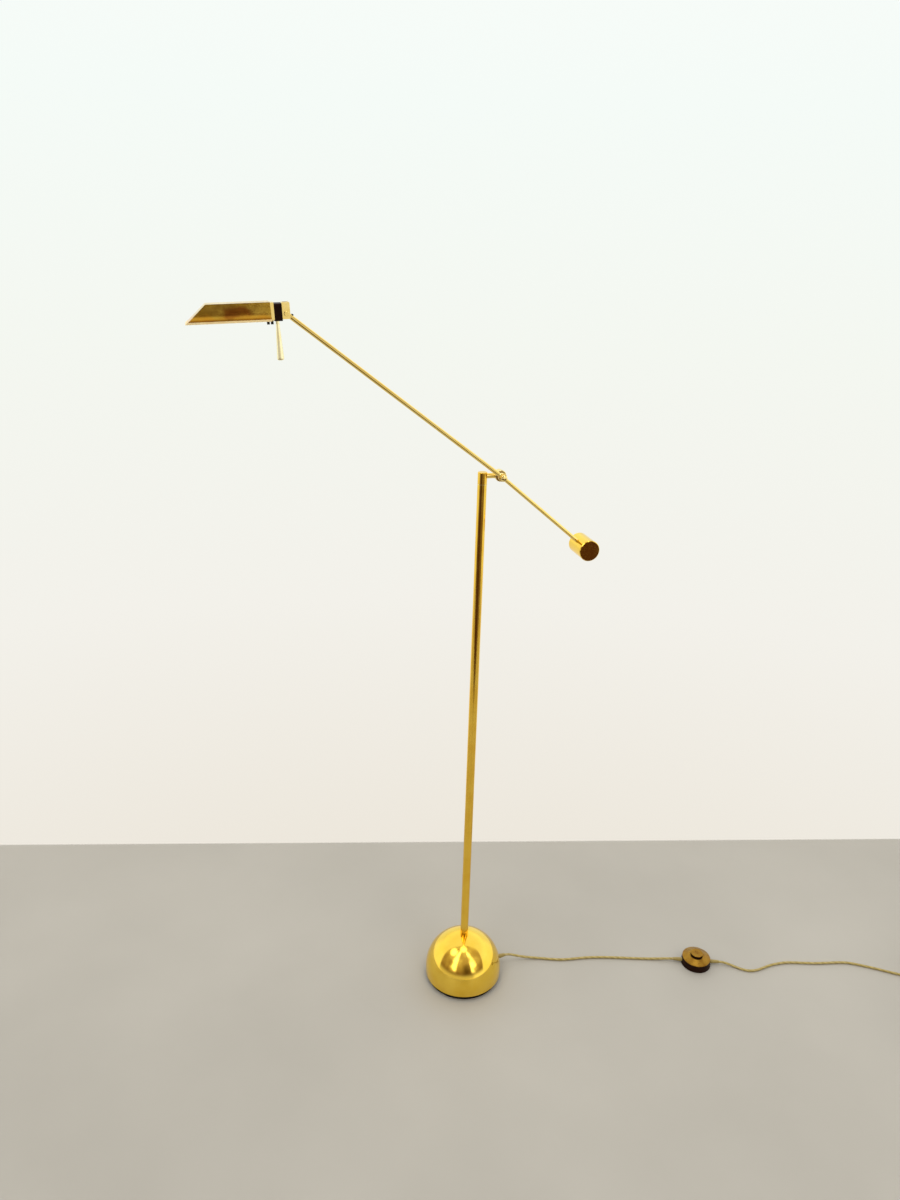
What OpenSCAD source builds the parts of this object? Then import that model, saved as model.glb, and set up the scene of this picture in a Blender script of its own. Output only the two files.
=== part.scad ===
// Counterbalance floor lamp in polished brass. A domed base carries an upright pole with a swivel
// on its top. A bracket on the swivel holds the arm's pivot: the front tube rises to a folded sheet
// shade, and the rear rod carries a counterweight that lies across it. The cord runs along the
// floor to a round foot switch and on to a coil and a plug.
// Millimetres. +Z is up, +X points from the pole to the counterweight, and the origin is the middle
// of the base on the floor. The arm swings in a plane in front of the pole, on the -Y side.

/* [Base] */
// Radius of the dome and of its skirt
base_r = 92; // [80:1:105]
// Height of the middle of the dome above the floor, where the skirt ends
skirt_h = 26; // [24:1:45]
// Wall of the spun base shell
shell_t = 1.6; // [1.2:0.1:2.4]
// Height that the flat under the pole takes off the dome
seat_cut = 0.6; // [0.5:0.1:1]
// Wall of the cast core inside the shell
core_wall = 18; // [16:1:28]
// Thickness of the steel bottom plate, which lifts the dome's rim off the floor
plate_t = 9; // [5:0.5:10]
// Distance that the bottom plate stands back from the dome's rim
plate_set = 6; // [4:0.5:9]
// Thickness of the felt pad under the plate
felt_t = 3; // [1:0.5:4]
// Thread diameter of the bottom plate's screws
plate_screw_d = 5; // [4:0.5:6]
// Number of bottom plate screws
plate_screws_n = 3; // [3:1:6]

/* [Transformer] */
// Outer radius of the ring transformer
toroid_r = 45; // [38:1:52]
// Radius of its hole
toroid_bore_r = 14; // [10:1:20]
// Height of the ring
toroid_h = 36; // [25:1:42]
// Thickness of the clamping disc on it
clamp_t = 2.5; // [1.5:0.5:4]
// Diameter of the clamping bolt
clamp_bolt_d = 6; // [5:1:8]

/* [Pole] */
// Outer diameter of the pole
pole_d = 19; // [16:0.5:24]
// Wall of the pole
pole_wall = 1.5; // [1:0.25:2]
// Height of the pole's top edge above the floor
pole_h = 1237; // [900:1:1500]
// Diameter of the threaded nipple that fixes the pole to the base
nipple_d = 13; // [11:0.5:14]
// Length of the nipple inside the pole
nipple_grip = 25; // [15:1:40]
// Diameter of the lead inside the pole
lead_d = 6; // [4:0.5:7]

/* [Swivel] */
// Height of the bush's collar on top of the pole
bush_collar_h = 8; // [5:0.5:12]
// Length of the bush inside the pole
bush_len = 32; // [20:1:50]
// Diameter of the swivel's spigot
spigot_d = 10; // [8:0.5:11]
// Thickness of the washer under the swivel cap
swivel_washer_t = 1.2; // [0.8:0.2:2]
// Height of the swivel cap
cap_h = 23.6; // [20:0.2:30]

/* [Bracket] */
// Distance from the pole's axis to the arm's pivot
pivot_reach = 36; // [34:0.5:50]
// Depth of the bracket's axis below the top of the cap
stub_drop = 8; // [7:0.5:12]
// Diameter of the bracket rod
stub_d = 10.5; // [8:0.5:12]
// Diameter of the pivot boss
boss_d = 23; // [20:0.5:26]
// Width of the pivot boss
boss_w = 16; // [13:0.5:24]
// Diameter of the pivot bolt
bolt_d = 8; // [6:0.5:9]
// Thickness of the friction washer
friction_washer_t = 1.5; // [1:0.25:3]
// Thickness of the spring washer under the knob
spring_washer_t = 1.8; // [1:0.2:3]
// Diameter of the tension knob
knob_d = 13; // [11:0.5:20]
// Length of the tension knob
knob_len = 8.3; // [7:0.1:14]

/* [Arm] */
// Angle of the front tube above the horizontal
arm_rise = 36.75; // [20:0.05:50]
// Angle by which the rear rod falls steeper than the tube rises
rear_droop = 3; // [0:0.1:6]
// Distance from the pivot to the head's joint
front_len = 511; // [350:1:700]
// Distance from the pivot to the counterweight's axis
rear_len = 244; // [150:1:320]
// Diameter of the front tube
tube_d = 8.5; // [8:0.5:9.5]
// Wall of the front tube
tube_wall = 1; // [0.8:0.1:1.3]
// Diameter of the rear rod
rod_d = 8; // [6.5:0.5:9]
// Diameter of the hub on the pivot
hub_d = 17; // [14:0.5:20]
// Width of the hub
hub_w = 11; // [10.5:0.5:14]
// Diameter of the lead inside the tube
arm_lead_d = 3.4; // [2.5:0.1:4]

/* [Counterweight] */
// Diameter of the counterweight
weight_d = 44; // [36:0.5:50]
// Length of the counterweight, across the arm
weight_len = 60; // [40:1:80]
// Depth of the rod past the counterweight's axis
weight_bite = 10; // [5:1:13]
// Bevel on the counterweight's edges
weight_bevel = 1.2; // [0.5:0.1:2.5]
// Diameter of the set screw that holds it
weight_screw_d = 5; // [3:0.5:6]

/* [Head joint] */
// Angle by which the shade's tip droops
head_droop = 2.7; // [0:0.1:8]
// Length of the knuckle behind the tilt axis
knuckle_back = 6.5; // [5.5:0.5:9]
// Length of the knuckle in front of the tilt axis
knuckle_front = 7.5; // [7:0.5:10]
// Height of the knuckle
knuckle_h = 28; // [26:0.5:34]
// Width of the knuckle
knuckle_w = 24; // [22:0.5:30]
// Diameter of the eye on the arm's end
eye_d = 10; // [9.5:0.5:10.5]
// Width of the eye
eye_w = 8.8; // [8:0.1:9.2]
// Diameter of the tilt screw
tilt_screw_d = 4; // [3:0.5:5]
// Length of the eye's neck before the tube
eye_neck = 7.5; // [7:0.5:10]

/* [Lampholder] */
// Length of the lampholder
holder_len = 13.5; // [12:0.5:20]
// Height of the lampholder
holder_h = 29; // [29:0.5:34]
// Distance that the lampholder's middle lies below the head's
holder_drop = 2; // [0:0.5:2]
// Width of the lampholder
holder_w = 36; // [33:0.5:42]
// Height of the head's middle above the tilt axis
head_mid = 5; // [3.5:0.5:6]
// Width of the ceramic socket
socket_w = 18; // [15:0.5:19]
// Height of the ceramic socket
socket_h = 14; // [11:0.5:15]
// Diameter of the bulb
bulb_d = 12; // [9:0.5:14]
// Length of the bulb's glass
bulb_len = 33; // [26:1:40]
// Distance between the bulb's pins
pin_gap = 6.35; // [4:0.05:8]
// Diameter of the bulb's pins
pin_d = 1.2; // [0.8:0.1:1.5]
// Length of the grip below the lampholder
grip_len = 67; // [40:1:90]
// Diameter of the grip near its lower end
grip_d = 12.5; // [9:0.5:16]
// Diameter of the grip's neck
grip_neck_d = 6; // [4.5:0.5:7]

/* [Shade] */
// Length of the shade along its lower edge, with its tab
shade_len = 147; // [125:1:180]
// Length of the shade's flat top
shade_top_len = 106.5; // [92:0.5:116]
// Distance that the sides' lower edge begins in front of the tab's rear edge
shade_side_set = 5; // [0:0.5:6]
// Distance that the top's rear edge stands forward of the lower one
shade_rear_set = 0.5; // [0:0.1:6]
// Height of the shade
shade_h = 31; // [29:0.5:40]
// Width of the shade at its lower edge
shade_w = 58; // [52:1:72]
// Width of the shade's flat top
shade_top_w = 44; // [40:1:50]
// Thickness of the sheet
sheet_t = 0.8; // [0.6:0.1:1.2]
// Height of the hem along the lower edge
hem_h = 3.5; // [2:0.1:5]
// Distance that the hem stands out of the sheet
hem_t = 0.9; // [0.5:0.1:1.5]
// Length of the collar that carries the shade
collar_len = 12; // [11:0.5:18]
// Width of the collar
collar_w = 34; // [30:0.5:38]
// Wall of the collar
collar_wall = 4.5; // [3.5:0.5:6]

/* [Foot switch] */
// Place of the switch along X
switch_x = 586; // [560:1:600]
// Place of the switch along Y
switch_y = -109; // [-122:1:-97]
// Direction of the cord through the switch
switch_az = -19; // [-30:1:-8]
// Diameter of the switch
switch_d = 73; // [66:1:84]
// Height of the switch's body
switch_body_h = 18; // [16:0.5:24]
// Rise of the brass cover from its rim to its top
cover_rise = 8; // [6:0.5:12]
// Thickness of the cover
cover_t = 1.5; // [1:0.1:2]
// Wall of the switch's body
switch_wall = 3; // [2:0.5:4]
// Thickness of the switch's bottom
switch_base_t = 2.5; // [2:0.5:4]
// Diameter of the button
button_d = 30; // [24:1:34]
// Height of the button above the cover
button_rise = 6; // [5:0.5:9]
// Travel of the button
button_travel = 3; // [1.5:0.5:3.5]

/* [Cord] */
// Diameter of the cord
cord_d = 6; // [5:0.5:6.5]
// Height of the cord's exit from the base
exit_z = 22; // [20:0.5:28]
// Direction of the cord's exit from the base
exit_az = 5; // [0:1:25]
// Length of the strain reliefs
relief_len = 20; // [20:1:40]
// Inner radius of the coil, at the middle of the cord
coil_in_r = 26; // [24:0.5:32]
// Distance between the coil's turns
coil_pitch = 6.6; // [6.5:0.1:8]
// Length of the plug's body
plug_len = 38; // [30:1:48]
// Width of the plug's body
plug_w = 34; // [30:1:42]
// Length of the plug's pins
plug_pin_len = 19; // [16:1:22]
// Distance between the plug's pins
plug_pin_gap = 19; // [17:0.5:20]

/* [Fits] */
// Radial clearance of shafts that turn
run_gap = 0.05; // [0.02:0.01:0.1]
// Clearance of pieces that are fixed in each other
fit_gap = 0.05; // [0.02:0.01:0.1]
// Distance between faces that slide on each other
face_gap = 0.1; // [0.05:0.05:0.2]
// Clearance of loose pieces
slip = 0.3; // [0.2:0.05:0.5]

/* [Hidden] */
$fn = 64;

brass = [0.78, 0.60, 0.22];
bright_brass = [0.90, 0.76, 0.42];
dark_brown = [0.13, 0.07, 0.05];
steel = [0.62, 0.63, 0.65];
iron = [0.25, 0.25, 0.26];
cord_gold = [0.62, 0.55, 0.30];

// Overshoot of cutting shapes past the faces that they cut
over = 1;

// Base
shell_in_r = base_r - shell_t;
core_r = shell_in_r - slip;
core_in_r = core_r - core_wall;
plate_r = base_r - plate_set;
felt_r = plate_r;
plate_top = felt_t + plate_t;
seat_z = skirt_h + base_r - seat_cut;
web_z = skirt_h + core_in_r + over;
nipple_r = nipple_d / 2;
nut_w = nipple_d * 1.6;
nut_h = nipple_d * 0.6;
washer_t = 2;
washer_r = nut_w * 0.62;
nipple_z = web_z - washer_t - nut_h - 3;
plate_screw_len = plate_t + 12;
plate_screw_head_r = plate_screw_d;
plate_screw_ring = min(core_r - core_wall / 2, plate_r - plate_screw_head_r - 2);

// Pole and swivel
pole_r = pole_d / 2;
pole_in_r = pole_r - pole_wall;
spigot_r = spigot_d / 2;
bush_top = pole_h + bush_collar_h;
bush_z = pole_h - bush_len;
cap_z = bush_top + swivel_washer_t + face_gap;
cap_top = cap_z + cap_h;
cap_edge = 1.5;
clip_t = 1.2;
clip_groove = 0.8;
clip_z = bush_z - face_gap - clip_t;
spigot_z = clip_z - 3;

// Pivot
pivot_z = cap_top - stub_drop;
boss_r = boss_d / 2;
bolt_r = bolt_d / 2;
boss_front = -boss_w / 2;
hub_back = boss_front - friction_washer_t - face_gap;
arm_y = hub_back - hub_w / 2;
hub_front = hub_back - hub_w;
knob_back = hub_front - spring_washer_t - face_gap;
knob_r = knob_d / 2;
knob_wall = 1.2;
thread_r = bolt_r * 0.75;
bolt_head_t = 4;
bolt_head_r = bolt_r * 2;
tenon_r = stub_d / 3;
tenon_bite = 6;
tenon_cap_x = 3;

// Arm
tube_r = tube_d / 2;
tube_in_r = tube_r - tube_wall;
rod_r = rod_d / 2;
hub_r = hub_d / 2;
hub_neck = hub_r + 2;
spigot_bite = 16;
rod_pin_r = rod_r * 0.6;
rod_pin_len = 12;
lead_bore_r = arm_lead_d / 2 + fit_gap;
rear_fall = arm_rise + rear_droop;
tube_screw_s = eye_neck + 3;
tube_screw_r = 1.5;
tube_screw_head_r = 2;
tube_screw_head_h = 1.6;
weight_r = weight_d / 2;
weight_screw_len = 12;

// Head
head_x = pivot_reach - front_len * cos(arm_rise);
head_z = pivot_z + front_len * sin(arm_rise);
knuckle_top = head_mid + knuckle_h / 2;
slot_half = max(eye_w, tube_d) / 2 + slip;
slot_front = eye_d / 2 + slip;
tilt_r = tilt_screw_d / 2;
tilt_head_r = tilt_r * 2.2;
tilt_head_h = 2.4;
ear_mid = (slot_half + knuckle_w / 2) / 2;
holder_bottom = head_mid - holder_drop - holder_h / 2;
holder_top = holder_bottom + holder_h;
holder_screw_r = 1.5;
holder_screw_z = min(knuckle_top, holder_top) - 3.2;
holder_screw_bite = 6;
holder_u = knuckle_front;
holder_front = holder_u + holder_len;
socket_depth = 9;
socket_proud = 3;
socket_front = holder_front + socket_proud;
bulb_u = socket_front + 5;
pin_bite = 6;
grip_u = holder_u + holder_len * 0.6;
grip_stud_r = grip_neck_d * 0.4;
grip_stud_len = 6;

// Shade: its tab's rear edge, its sides' rear edge, its top and the slopes of its front and sides
shade_u = holder_front + 0.8;
shade_side_u = shade_u + shade_side_set;
shade_top = head_mid + shade_h / 2;
shade_bottom = shade_top - shade_h;
shade_top_u = shade_side_u + shade_rear_set;
front_run = shade_u + shade_len - shade_top_u - shade_top_len;
side_run = (shade_w - shade_top_w) / 2;
front_shift = sheet_t * sqrt(front_run * front_run + shade_h * shade_h) / shade_h;
side_shift = sheet_t * sqrt(side_run * side_run + shade_h * shade_h) / shade_h;
collar_top = shade_top - sheet_t - face_gap;
tab_t = 1.2;
collar_bottom = shade_bottom + tab_t + face_gap;
shade_screw_r = 1.5;
shade_screw_head_r = 2.4;
shade_screw_head_h = 7;
shade_screw_bite = 3;

// Foot switch
switch_r = switch_d / 2;
switch_taper = 2;
switch_in_r = switch_r - switch_taper - switch_wall;
cover_rim_r = switch_r - switch_taper;
cover_lip_h = 1.5;
button_r = button_d / 2;
cover_hole_r = button_r + slip;
cover_top_r = cover_hole_r + 3;
cover_z = switch_body_h;
cover_top_z = cover_z + cover_rise;
flange_r = button_r + 2;
flange_t = 2;
flange_top = cover_top_z - cover_t - slip;
button_top = cover_top_z + button_rise;
cap_t = 1.6;
module_h = 8;
module_top = switch_base_t + module_h;
stop_top = flange_top - flange_t - button_travel - slip;
stop_r = 11;
stop_wall = 2;
spring_r = 9;
spring_wire = 1.2;
spring_turns = 4;
relief_z = 8;
relief_wall = 1.8;

// Cord
cord_r = cord_d / 2;
bore_r = cord_r + fit_gap;
gland_flange_r = cord_r + 4;
gland_flange_t = 2;
gland_hole_r = cord_r + 2.4;
tie_t = 0.8;
tie_w = 8;
tie_gap = 0.1;
tie_side = 0.7;
floor_gap = 0.1;
coil_x = 1150;
coil_y = -272;
coil_az = 235;
turns_in = 3;
turns_out = 2.5;
coil_out_r = coil_in_r + turns_in * coil_pitch;
coil_z = tie_t + tie_gap + cord_r;
coil_z2 = coil_z + cord_d + 0.6;
coil_bulge = 2;
loop_rings = 24;
plug_lead = coil_out_r * 0.96;
plug_neck_len = 14;
plug_neck_r = cord_r + 1.6;
plug_half_t = coil_z2 - floor_gap;
plug_pin_r = 2;

// Ends of the gland and of the switch's two strain reliefs, where the cord comes out
gland_tip = concat((base_r + slip + relief_len + fit_gap) * [cos(exit_az), sin(exit_az)], exit_z);
function switch_tip(s) = [switch_x, switch_y, relief_z]
    + s * (switch_r + relief_len + fit_gap) * [cos(switch_az), sin(switch_az), 0];

// The cord's route from the base to the switch and from the switch to the coil
route_to_switch = [[111.9, 9.8, 22], [124.5, 9.6, 20.8], [138, 8.2, 16.9], [152.5, 7, 11.6],
    [168, 5.5, 7.2], [185, 2.5, 4.4], [206, -3.5, 3.2], [231, -12.5, 3.1], [257, -20, 3.1],
    [285, -24, 3.1], [313, -27, 3.1], [342, -32, 3.1], [374, -40, 3.1], [406, -49, 3.1],
    [438, -58.5, 3.1], [468, -67, 3.3], [492, -74, 4.4], [513, -80.8, 6.6], [533.5, -87.6, 8]];
route_to_coil = [[640.5, -124.4, 8], [652, -128.8, 7.2], [665, -137, 5.2], [678, -148, 3.6],
    [690, -158.5, 3.1], [704, -166.5, 3.1], [724, -169.3, 3.1], [746, -166.5, 3.1],
    [768, -163.5, 3.1], [792, -163.3, 3.1], [816, -166, 3.1], [848, -175, 3.1],
    [882, -185, 3.1], [916, -192, 3.1], [948, -198.5, 3.1], [972, -207, 3.1],
    [1000, -223.5, 3.1], [1026, -240.5, 3.1], [1050, -257.5, 3.2], [1074, -274.5, 3.6],
    [1098, -291.2, 3.8], [1118.8, -306, 3.9]];

// Shapes that repeat

// Bar along X from x0 to x1
module bar_x(r, x0, x1) {
    translate([x0, 0, 0]) rotate([0, 90, 0]) cylinder(r = r, h = x1 - x0);
}

// Bar along Y from y0 to y1
module bar_y(r, y0, y1) {
    translate([0, y1, 0]) rotate([90, 0, 0]) cylinder(r = r, h = y1 - y0);
}

// Block between two corners
module block(low, high) {
    translate(low) cube(high - low);
}

// Turned bar with bevelled ends, along Z from 0 to h
module turned(r, h, bevel) {
    rotate_extrude() polygon([[0, 0], [r - bevel, 0], [r, bevel], [r, h - bevel], [r - bevel, h], [0, h]]);
}

// Flat ring along Z
module ring(r, hole_r, h) {
    difference() {
        cylinder(r = r, h = h);
        translate([0, 0, -over]) cylinder(r = hole_r, h = h + 2 * over);
    }
}

// Cone with a bore along X from 0 to len, for the strain reliefs
module relief(root_r, len) {
    difference() {
        rotate([0, 90, 0]) cylinder(r1 = root_r, r2 = cord_r + relief_wall / 2, h = len);
        bar_x(bore_r, -over, len + over);
    }
}

// Outline with round corners, from its lowest to its highest corner
function round_box(x0, y0, x1, y1, r) = [
    for (c = [[x1 - r, y1 - r, 0], [x0 + r, y1 - r, 90], [x0 + r, y0 + r, 180], [x1 - r, y0 + r, 270]])
        for (a = [0:15:90]) [c[0] + r * cos(c[2] + a), c[1] + r * sin(c[2] + a)]];

// Half outline of a dome on its skirt, from z0 up
module dome_2d(r, z0) {
    translate([0, z0]) square([r, skirt_h - z0]);
    translate([0, skirt_h]) intersection() {
        circle(r = r);
        square([r + over, r + over]);
    }
}

// Tube swept along points, in triangles. The points never run straight up.
function unit(v) = v / norm(v);
function heading(p, i) = unit(p[min(i + 1, len(p) - 1)] - p[max(i - 1, 0)]);
function first_angle(sides) = 90 - 360 * floor(sides / 4) / sides;
function ring_points(p, i, r, sides) = let (t = heading(p, i), s = unit(cross(t, [0, 0, 1])), u = cross(s, t))
    [for (k = [0:sides - 1]) let (a = first_angle(sides) + 360 * k / sides)
        p[i] + r * (cos(a) * s + sin(a) * u)];
module tube(p, r, sides) {
    n = len(p);
    rings = [for (i = [0:n - 1]) each ring_points(p, i, r, sides)];
    start = n * sides;
    walls = [for (i = [0:n - 2]) for (k = [0:sides - 1])
        let (a = i * sides + k, b = i * sides + (k + 1) % sides)
        each [[a, b, b + sides], [a, b + sides, a + sides]]];
    first = [for (k = [0:sides - 1]) [start, (k + 1) % sides, k]];
    last = [for (k = [0:sides - 1]) [start + 1, start - sides + k, start - sides + (k + 1) % sides]];
    polyhedron(concat(rings, [p[0], p[n - 1]]), concat(walls, first, last));
}

// Route moved so that its ends meet its neighbours and it lies on the floor
function joined(p, first, last) = let (n = len(p) - 1)
    [for (i = [0:n]) let (q = p[i] + (first - p[0]) * (1 - i / n) + (last - p[n]) * i / n)
        [q[0], q[1], max(q[2], cord_r + floor_gap)]];

// Smooth curve through points, with one more point in the middle of each step
function curve_mid(p, i) = let (a = p[max(i - 1, 0)], b = p[i], c = p[i + 1], d = p[min(i + 2, len(p) - 1)])
    (9 * (b + c) - a - d) / 16;
function smooth(p) = [for (i = [0:len(p) - 1]) each i < len(p) - 1 ? [p[i], curve_mid(p, i)] : [p[i]]];

// Places that pieces are built in
module in_base_exit() { rotate([0, 0, exit_az]) translate([base_r, 0, exit_z]) children(); }
module at_pivot() { translate([pivot_reach, 0, pivot_z]) children(); }
module on_front() { translate([pivot_reach, arm_y, pivot_z]) rotate([0, arm_rise - 180, 0]) children(); }
module on_rear() { translate([pivot_reach, arm_y, pivot_z]) rotate([0, rear_fall, 0]) children(); }
module on_head() { translate([head_x, arm_y, head_z]) rotate([0, -head_droop, 0]) children(); }
module at_switch() { translate([switch_x, switch_y, 0]) rotate([0, 0, switch_az]) children(); }

// Base

module base_dome() {
    color(brass) difference() {
        rotate_extrude() difference() {
            dome_2d(base_r, plate_top);
            dome_2d(shell_in_r, plate_top - over);
            translate([0, seat_z]) square([base_r, base_r]);
            square([nipple_r + slip, seat_z + over]);
        }
        in_base_exit() bar_x(gland_hole_r + slip, -base_r / 3, over);
    }
}

module base_core() {
    color(iron) difference() {
        rotate_extrude() difference() {
            dome_2d(core_r, plate_top);
            dome_2d(core_in_r, plate_top - over);
            square([washer_r + over, web_z]);
            square([nipple_r + slip, seat_z]);
        }
        in_base_exit() bar_x(gland_hole_r + slip, -base_r, over);
        for (k = [0:plate_screws_n - 1]) rotate([0, 0, 60 + 360 * k / plate_screws_n])
            translate([plate_screw_ring, 0, felt_t])
                cylinder(d = plate_screw_d + 2 * fit_gap, h = plate_screw_len + over);
    }
}

module transformer() {
    corner = toroid_h / 6;
    color([0.72, 0.55, 0.2]) translate([0, 0, plate_top]) rotate_extrude() {
        translate([toroid_bore_r + corner, 0]) square([toroid_r - toroid_bore_r - 2 * corner, toroid_h]);
        translate([toroid_bore_r, corner]) square([toroid_r - toroid_bore_r, toroid_h - 2 * corner]);
        for (x = [toroid_bore_r + corner, toroid_r - corner], y = [corner, toroid_h - corner])
            translate([x, y]) circle(r = corner);
    }
}

module transformer_clamp() {
    color(steel) translate([0, 0, plate_top + toroid_h])
        ring(toroid_bore_r * 1.8, clamp_bolt_d / 2 + slip, clamp_t);
}

module transformer_bolt() {
    top = plate_top + toroid_h + clamp_t;
    color(steel) {
        translate([0, 0, felt_t]) cylinder(d = clamp_bolt_d, h = top - felt_t);
        translate([0, 0, top]) cylinder(d = clamp_bolt_d * 1.9, h = clamp_bolt_d * 0.65, $fn = 6);
    }
}

module base_plate() {
    color(steel) difference() {
        translate([0, 0, felt_t]) cylinder(r = plate_r, h = plate_t);
        translate([0, 0, felt_t - over]) cylinder(d = clamp_bolt_d + 2 * fit_gap, h = plate_t + 2 * over);
        for (k = [0:plate_screws_n - 1]) rotate([0, 0, 60 + 360 * k / plate_screws_n])
            translate([plate_screw_ring, 0, felt_t]) {
                translate([0, 0, -over]) cylinder(d = plate_screw_d + 2 * fit_gap, h = plate_t + 2 * over);
                cylinder(r1 = plate_screw_head_r + fit_gap, r2 = plate_screw_d / 2 + fit_gap,
                    h = plate_screw_d / 2);
            }
    }
}

module felt_pad() {
    color([0.1, 0.09, 0.08]) cylinder(r = felt_r, h = felt_t);
}

module plate_screws() {
    color(steel) for (k = [0:plate_screws_n - 1]) rotate([0, 0, 60 + 360 * k / plate_screws_n])
        translate([plate_screw_ring, 0, felt_t]) {
            cylinder(d = plate_screw_d, h = plate_screw_len);
            cylinder(r1 = plate_screw_head_r, r2 = plate_screw_d / 2, h = plate_screw_d / 2);
        }
}

module cord_gland() {
    root_r = cord_r + 3;
    color(cord_gold) in_base_exit() {
        difference() {
            bar_x(gland_hole_r, -shell_t - core_wall / 2, slip);
            bar_x(bore_r, -base_r, over);
        }
        translate([slip, 0, 0]) rotate([0, 90, 0]) ring(gland_flange_r, bore_r, gland_flange_t);
        translate([slip + gland_flange_t, 0, 0]) relief(root_r, relief_len - gland_flange_t);
    }
}

// Pole and swivel

module pole_nipple() {
    color(brass) difference() {
        union() {
            translate([0, 0, nipple_z]) cylinder(r = nipple_r, h = seat_z - nipple_z + over);
            translate([0, 0, seat_z + fit_gap]) cylinder(r = pole_in_r - fit_gap, h = nipple_grip);
        }
        translate([0, 0, nipple_z - over]) cylinder(d = lead_d + 2 * slip, h = seat_z + nipple_grip);
    }
}

module pole_washer() {
    color(steel) translate([0, 0, web_z - washer_t]) ring(washer_r, nipple_r + slip, washer_t);
}

module pole_nut() {
    color(steel) translate([0, 0, web_z - washer_t - nut_h]) difference() {
        cylinder(d = nut_w, h = nut_h, $fn = 6);
        translate([0, 0, -over]) cylinder(r = nipple_r + fit_gap, h = nut_h + 2 * over);
    }
}

module pole() {
    color(brass) translate([0, 0, seat_z]) ring(pole_r, pole_in_r, pole_h - seat_z);
}

module pole_lead() {
    color(dark_brown) translate([0, 0, nipple_z]) cylinder(d = lead_d, h = spigot_z - 4 - nipple_z);
}

module swivel_bush() {
    color(brass) difference() {
        union() {
            translate([0, 0, bush_z]) cylinder(r = pole_in_r - fit_gap, h = bush_len + over);
            translate([0, 0, pole_h]) cylinder(r = pole_r, h = bush_collar_h);
        }
        translate([0, 0, bush_z - over])
            cylinder(r = spigot_r + run_gap, h = bush_len + bush_collar_h + 2 * over);
    }
}

module swivel_washer() {
    color(bright_brass) translate([0, 0, bush_top]) ring(pole_r + slip, spigot_r + slip, swivel_washer_t);
}

module swivel_cap() {
    color(brass) difference() {
        union() {
            translate([0, 0, cap_z]) rotate_extrude() difference() {
                square([pole_r, cap_h]);
                translate([pole_r - cap_edge, cap_h - cap_edge]) difference() {
                    square(cap_edge + over);
                    circle(r = cap_edge);
                }
            }
            translate([0, 0, spigot_z]) cylinder(r = spigot_r, h = cap_z - spigot_z + over);
        }
        translate([0, 0, clip_z]) ring(spigot_r + over, spigot_r - clip_groove, clip_t);
        translate([0, 0, pivot_z]) bar_x(tenon_r + fit_gap, tenon_cap_x - over, pole_r + over);
    }
}

module swivel_clip() {
    color(steel) translate([0, 0, clip_z + fit_gap])
        ring(pole_in_r - slip, spigot_r - clip_groove + fit_gap, clip_t - 2 * fit_gap);
}

// Bracket and pivot

module bracket_stub() {
    boss_edge = pivot_reach - boss_r;
    color(brass) translate([0, 0, pivot_z]) {
        difference() {
            bar_x(stub_d / 2, 0, pivot_reach);
            translate([0, 0, -stub_d]) cylinder(r = pole_r + fit_gap, h = 2 * stub_d);
            translate([pivot_reach, 0, 0]) bar_y(boss_r + fit_gap, -stub_d, stub_d);
        }
        bar_x(tenon_r, tenon_cap_x, boss_edge + tenon_bite);
    }
}

module pivot_boss() {
    color(brass) at_pivot() difference() {
        translate([0, boss_w / 2, 0]) rotate([90, 0, 0]) turned(boss_r, boss_w, 1);
        bar_y(bolt_r + fit_gap, -boss_w, boss_w);
        bar_x(tenon_r + fit_gap, -boss_r - over, tenon_bite + over - boss_r);
    }
}

module pivot_bolt() {
    thread_len = knob_len - knob_wall - 2 * face_gap;
    color(bright_brass) at_pivot() {
        bar_y(bolt_r, knob_back + face_gap, boss_w / 2 + over);
        bar_y(thread_r, knob_back - thread_len, knob_back + over);
        translate([0, boss_w / 2 + bolt_head_t, 0]) difference() {
            rotate([90, 0, 0]) turned(bolt_head_r, bolt_head_t, 1);
            block([-bolt_head_r, -1.2, -0.8], [bolt_head_r, over, 0.8]);
        }
    }
}

module friction_washer() {
    color(dark_brown) at_pivot() translate([0, boss_front, 0]) rotate([90, 0, 0])
        ring(boss_r - 1.5, bolt_r + slip, friction_washer_t);
}

module spring_washer() {
    color(steel) at_pivot() translate([0, hub_front, 0]) rotate([90, 0, 0])
        ring(knob_r + 0.5, bolt_r + slip, spring_washer_t);
}

module tension_knob() {
    dome = 1.6;
    color(bright_brass) at_pivot() translate([0, knob_back, 0]) rotate([90, 0, 0]) difference() {
        rotate_extrude() polygon([[0, 0], [knob_r - 0.9, 0], [knob_r, 0.9], [knob_r, knob_len - dome - 0.6],
            [knob_r - 0.6, knob_len - dome], [knob_r * 0.6, knob_len - dome * 0.3], [0, knob_len]]);
        translate([0, 0, -over]) cylinder(r = thread_r + run_gap, h = knob_len - knob_wall + over);
        for (k = [0:11]) rotate([0, 0, 30 * k]) translate([knob_r + 0.5, 0, 1.4])
            cylinder(r = 1, h = knob_len);
    }
}

// Arm

module arm_hub() {
    color(brass) difference() {
        union() {
            translate([pivot_reach, hub_back, pivot_z]) rotate([90, 0, 0]) turned(hub_r, hub_w, 0.8);
            on_front() {
                bar_x(tube_r, 0, hub_neck);
                bar_x(tube_in_r - fit_gap, 0, hub_neck + spigot_bite);
            }
            on_rear() {
                bar_x(rod_r, 0, hub_neck);
                bar_x(rod_pin_r, 0, hub_neck + rod_pin_len);
            }
        }
        at_pivot() bar_y(bolt_r + run_gap, hub_front - over, hub_back + over);
        on_front() bar_x(lead_bore_r, bolt_r + 2, hub_neck + spigot_bite + over);
    }
}

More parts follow.
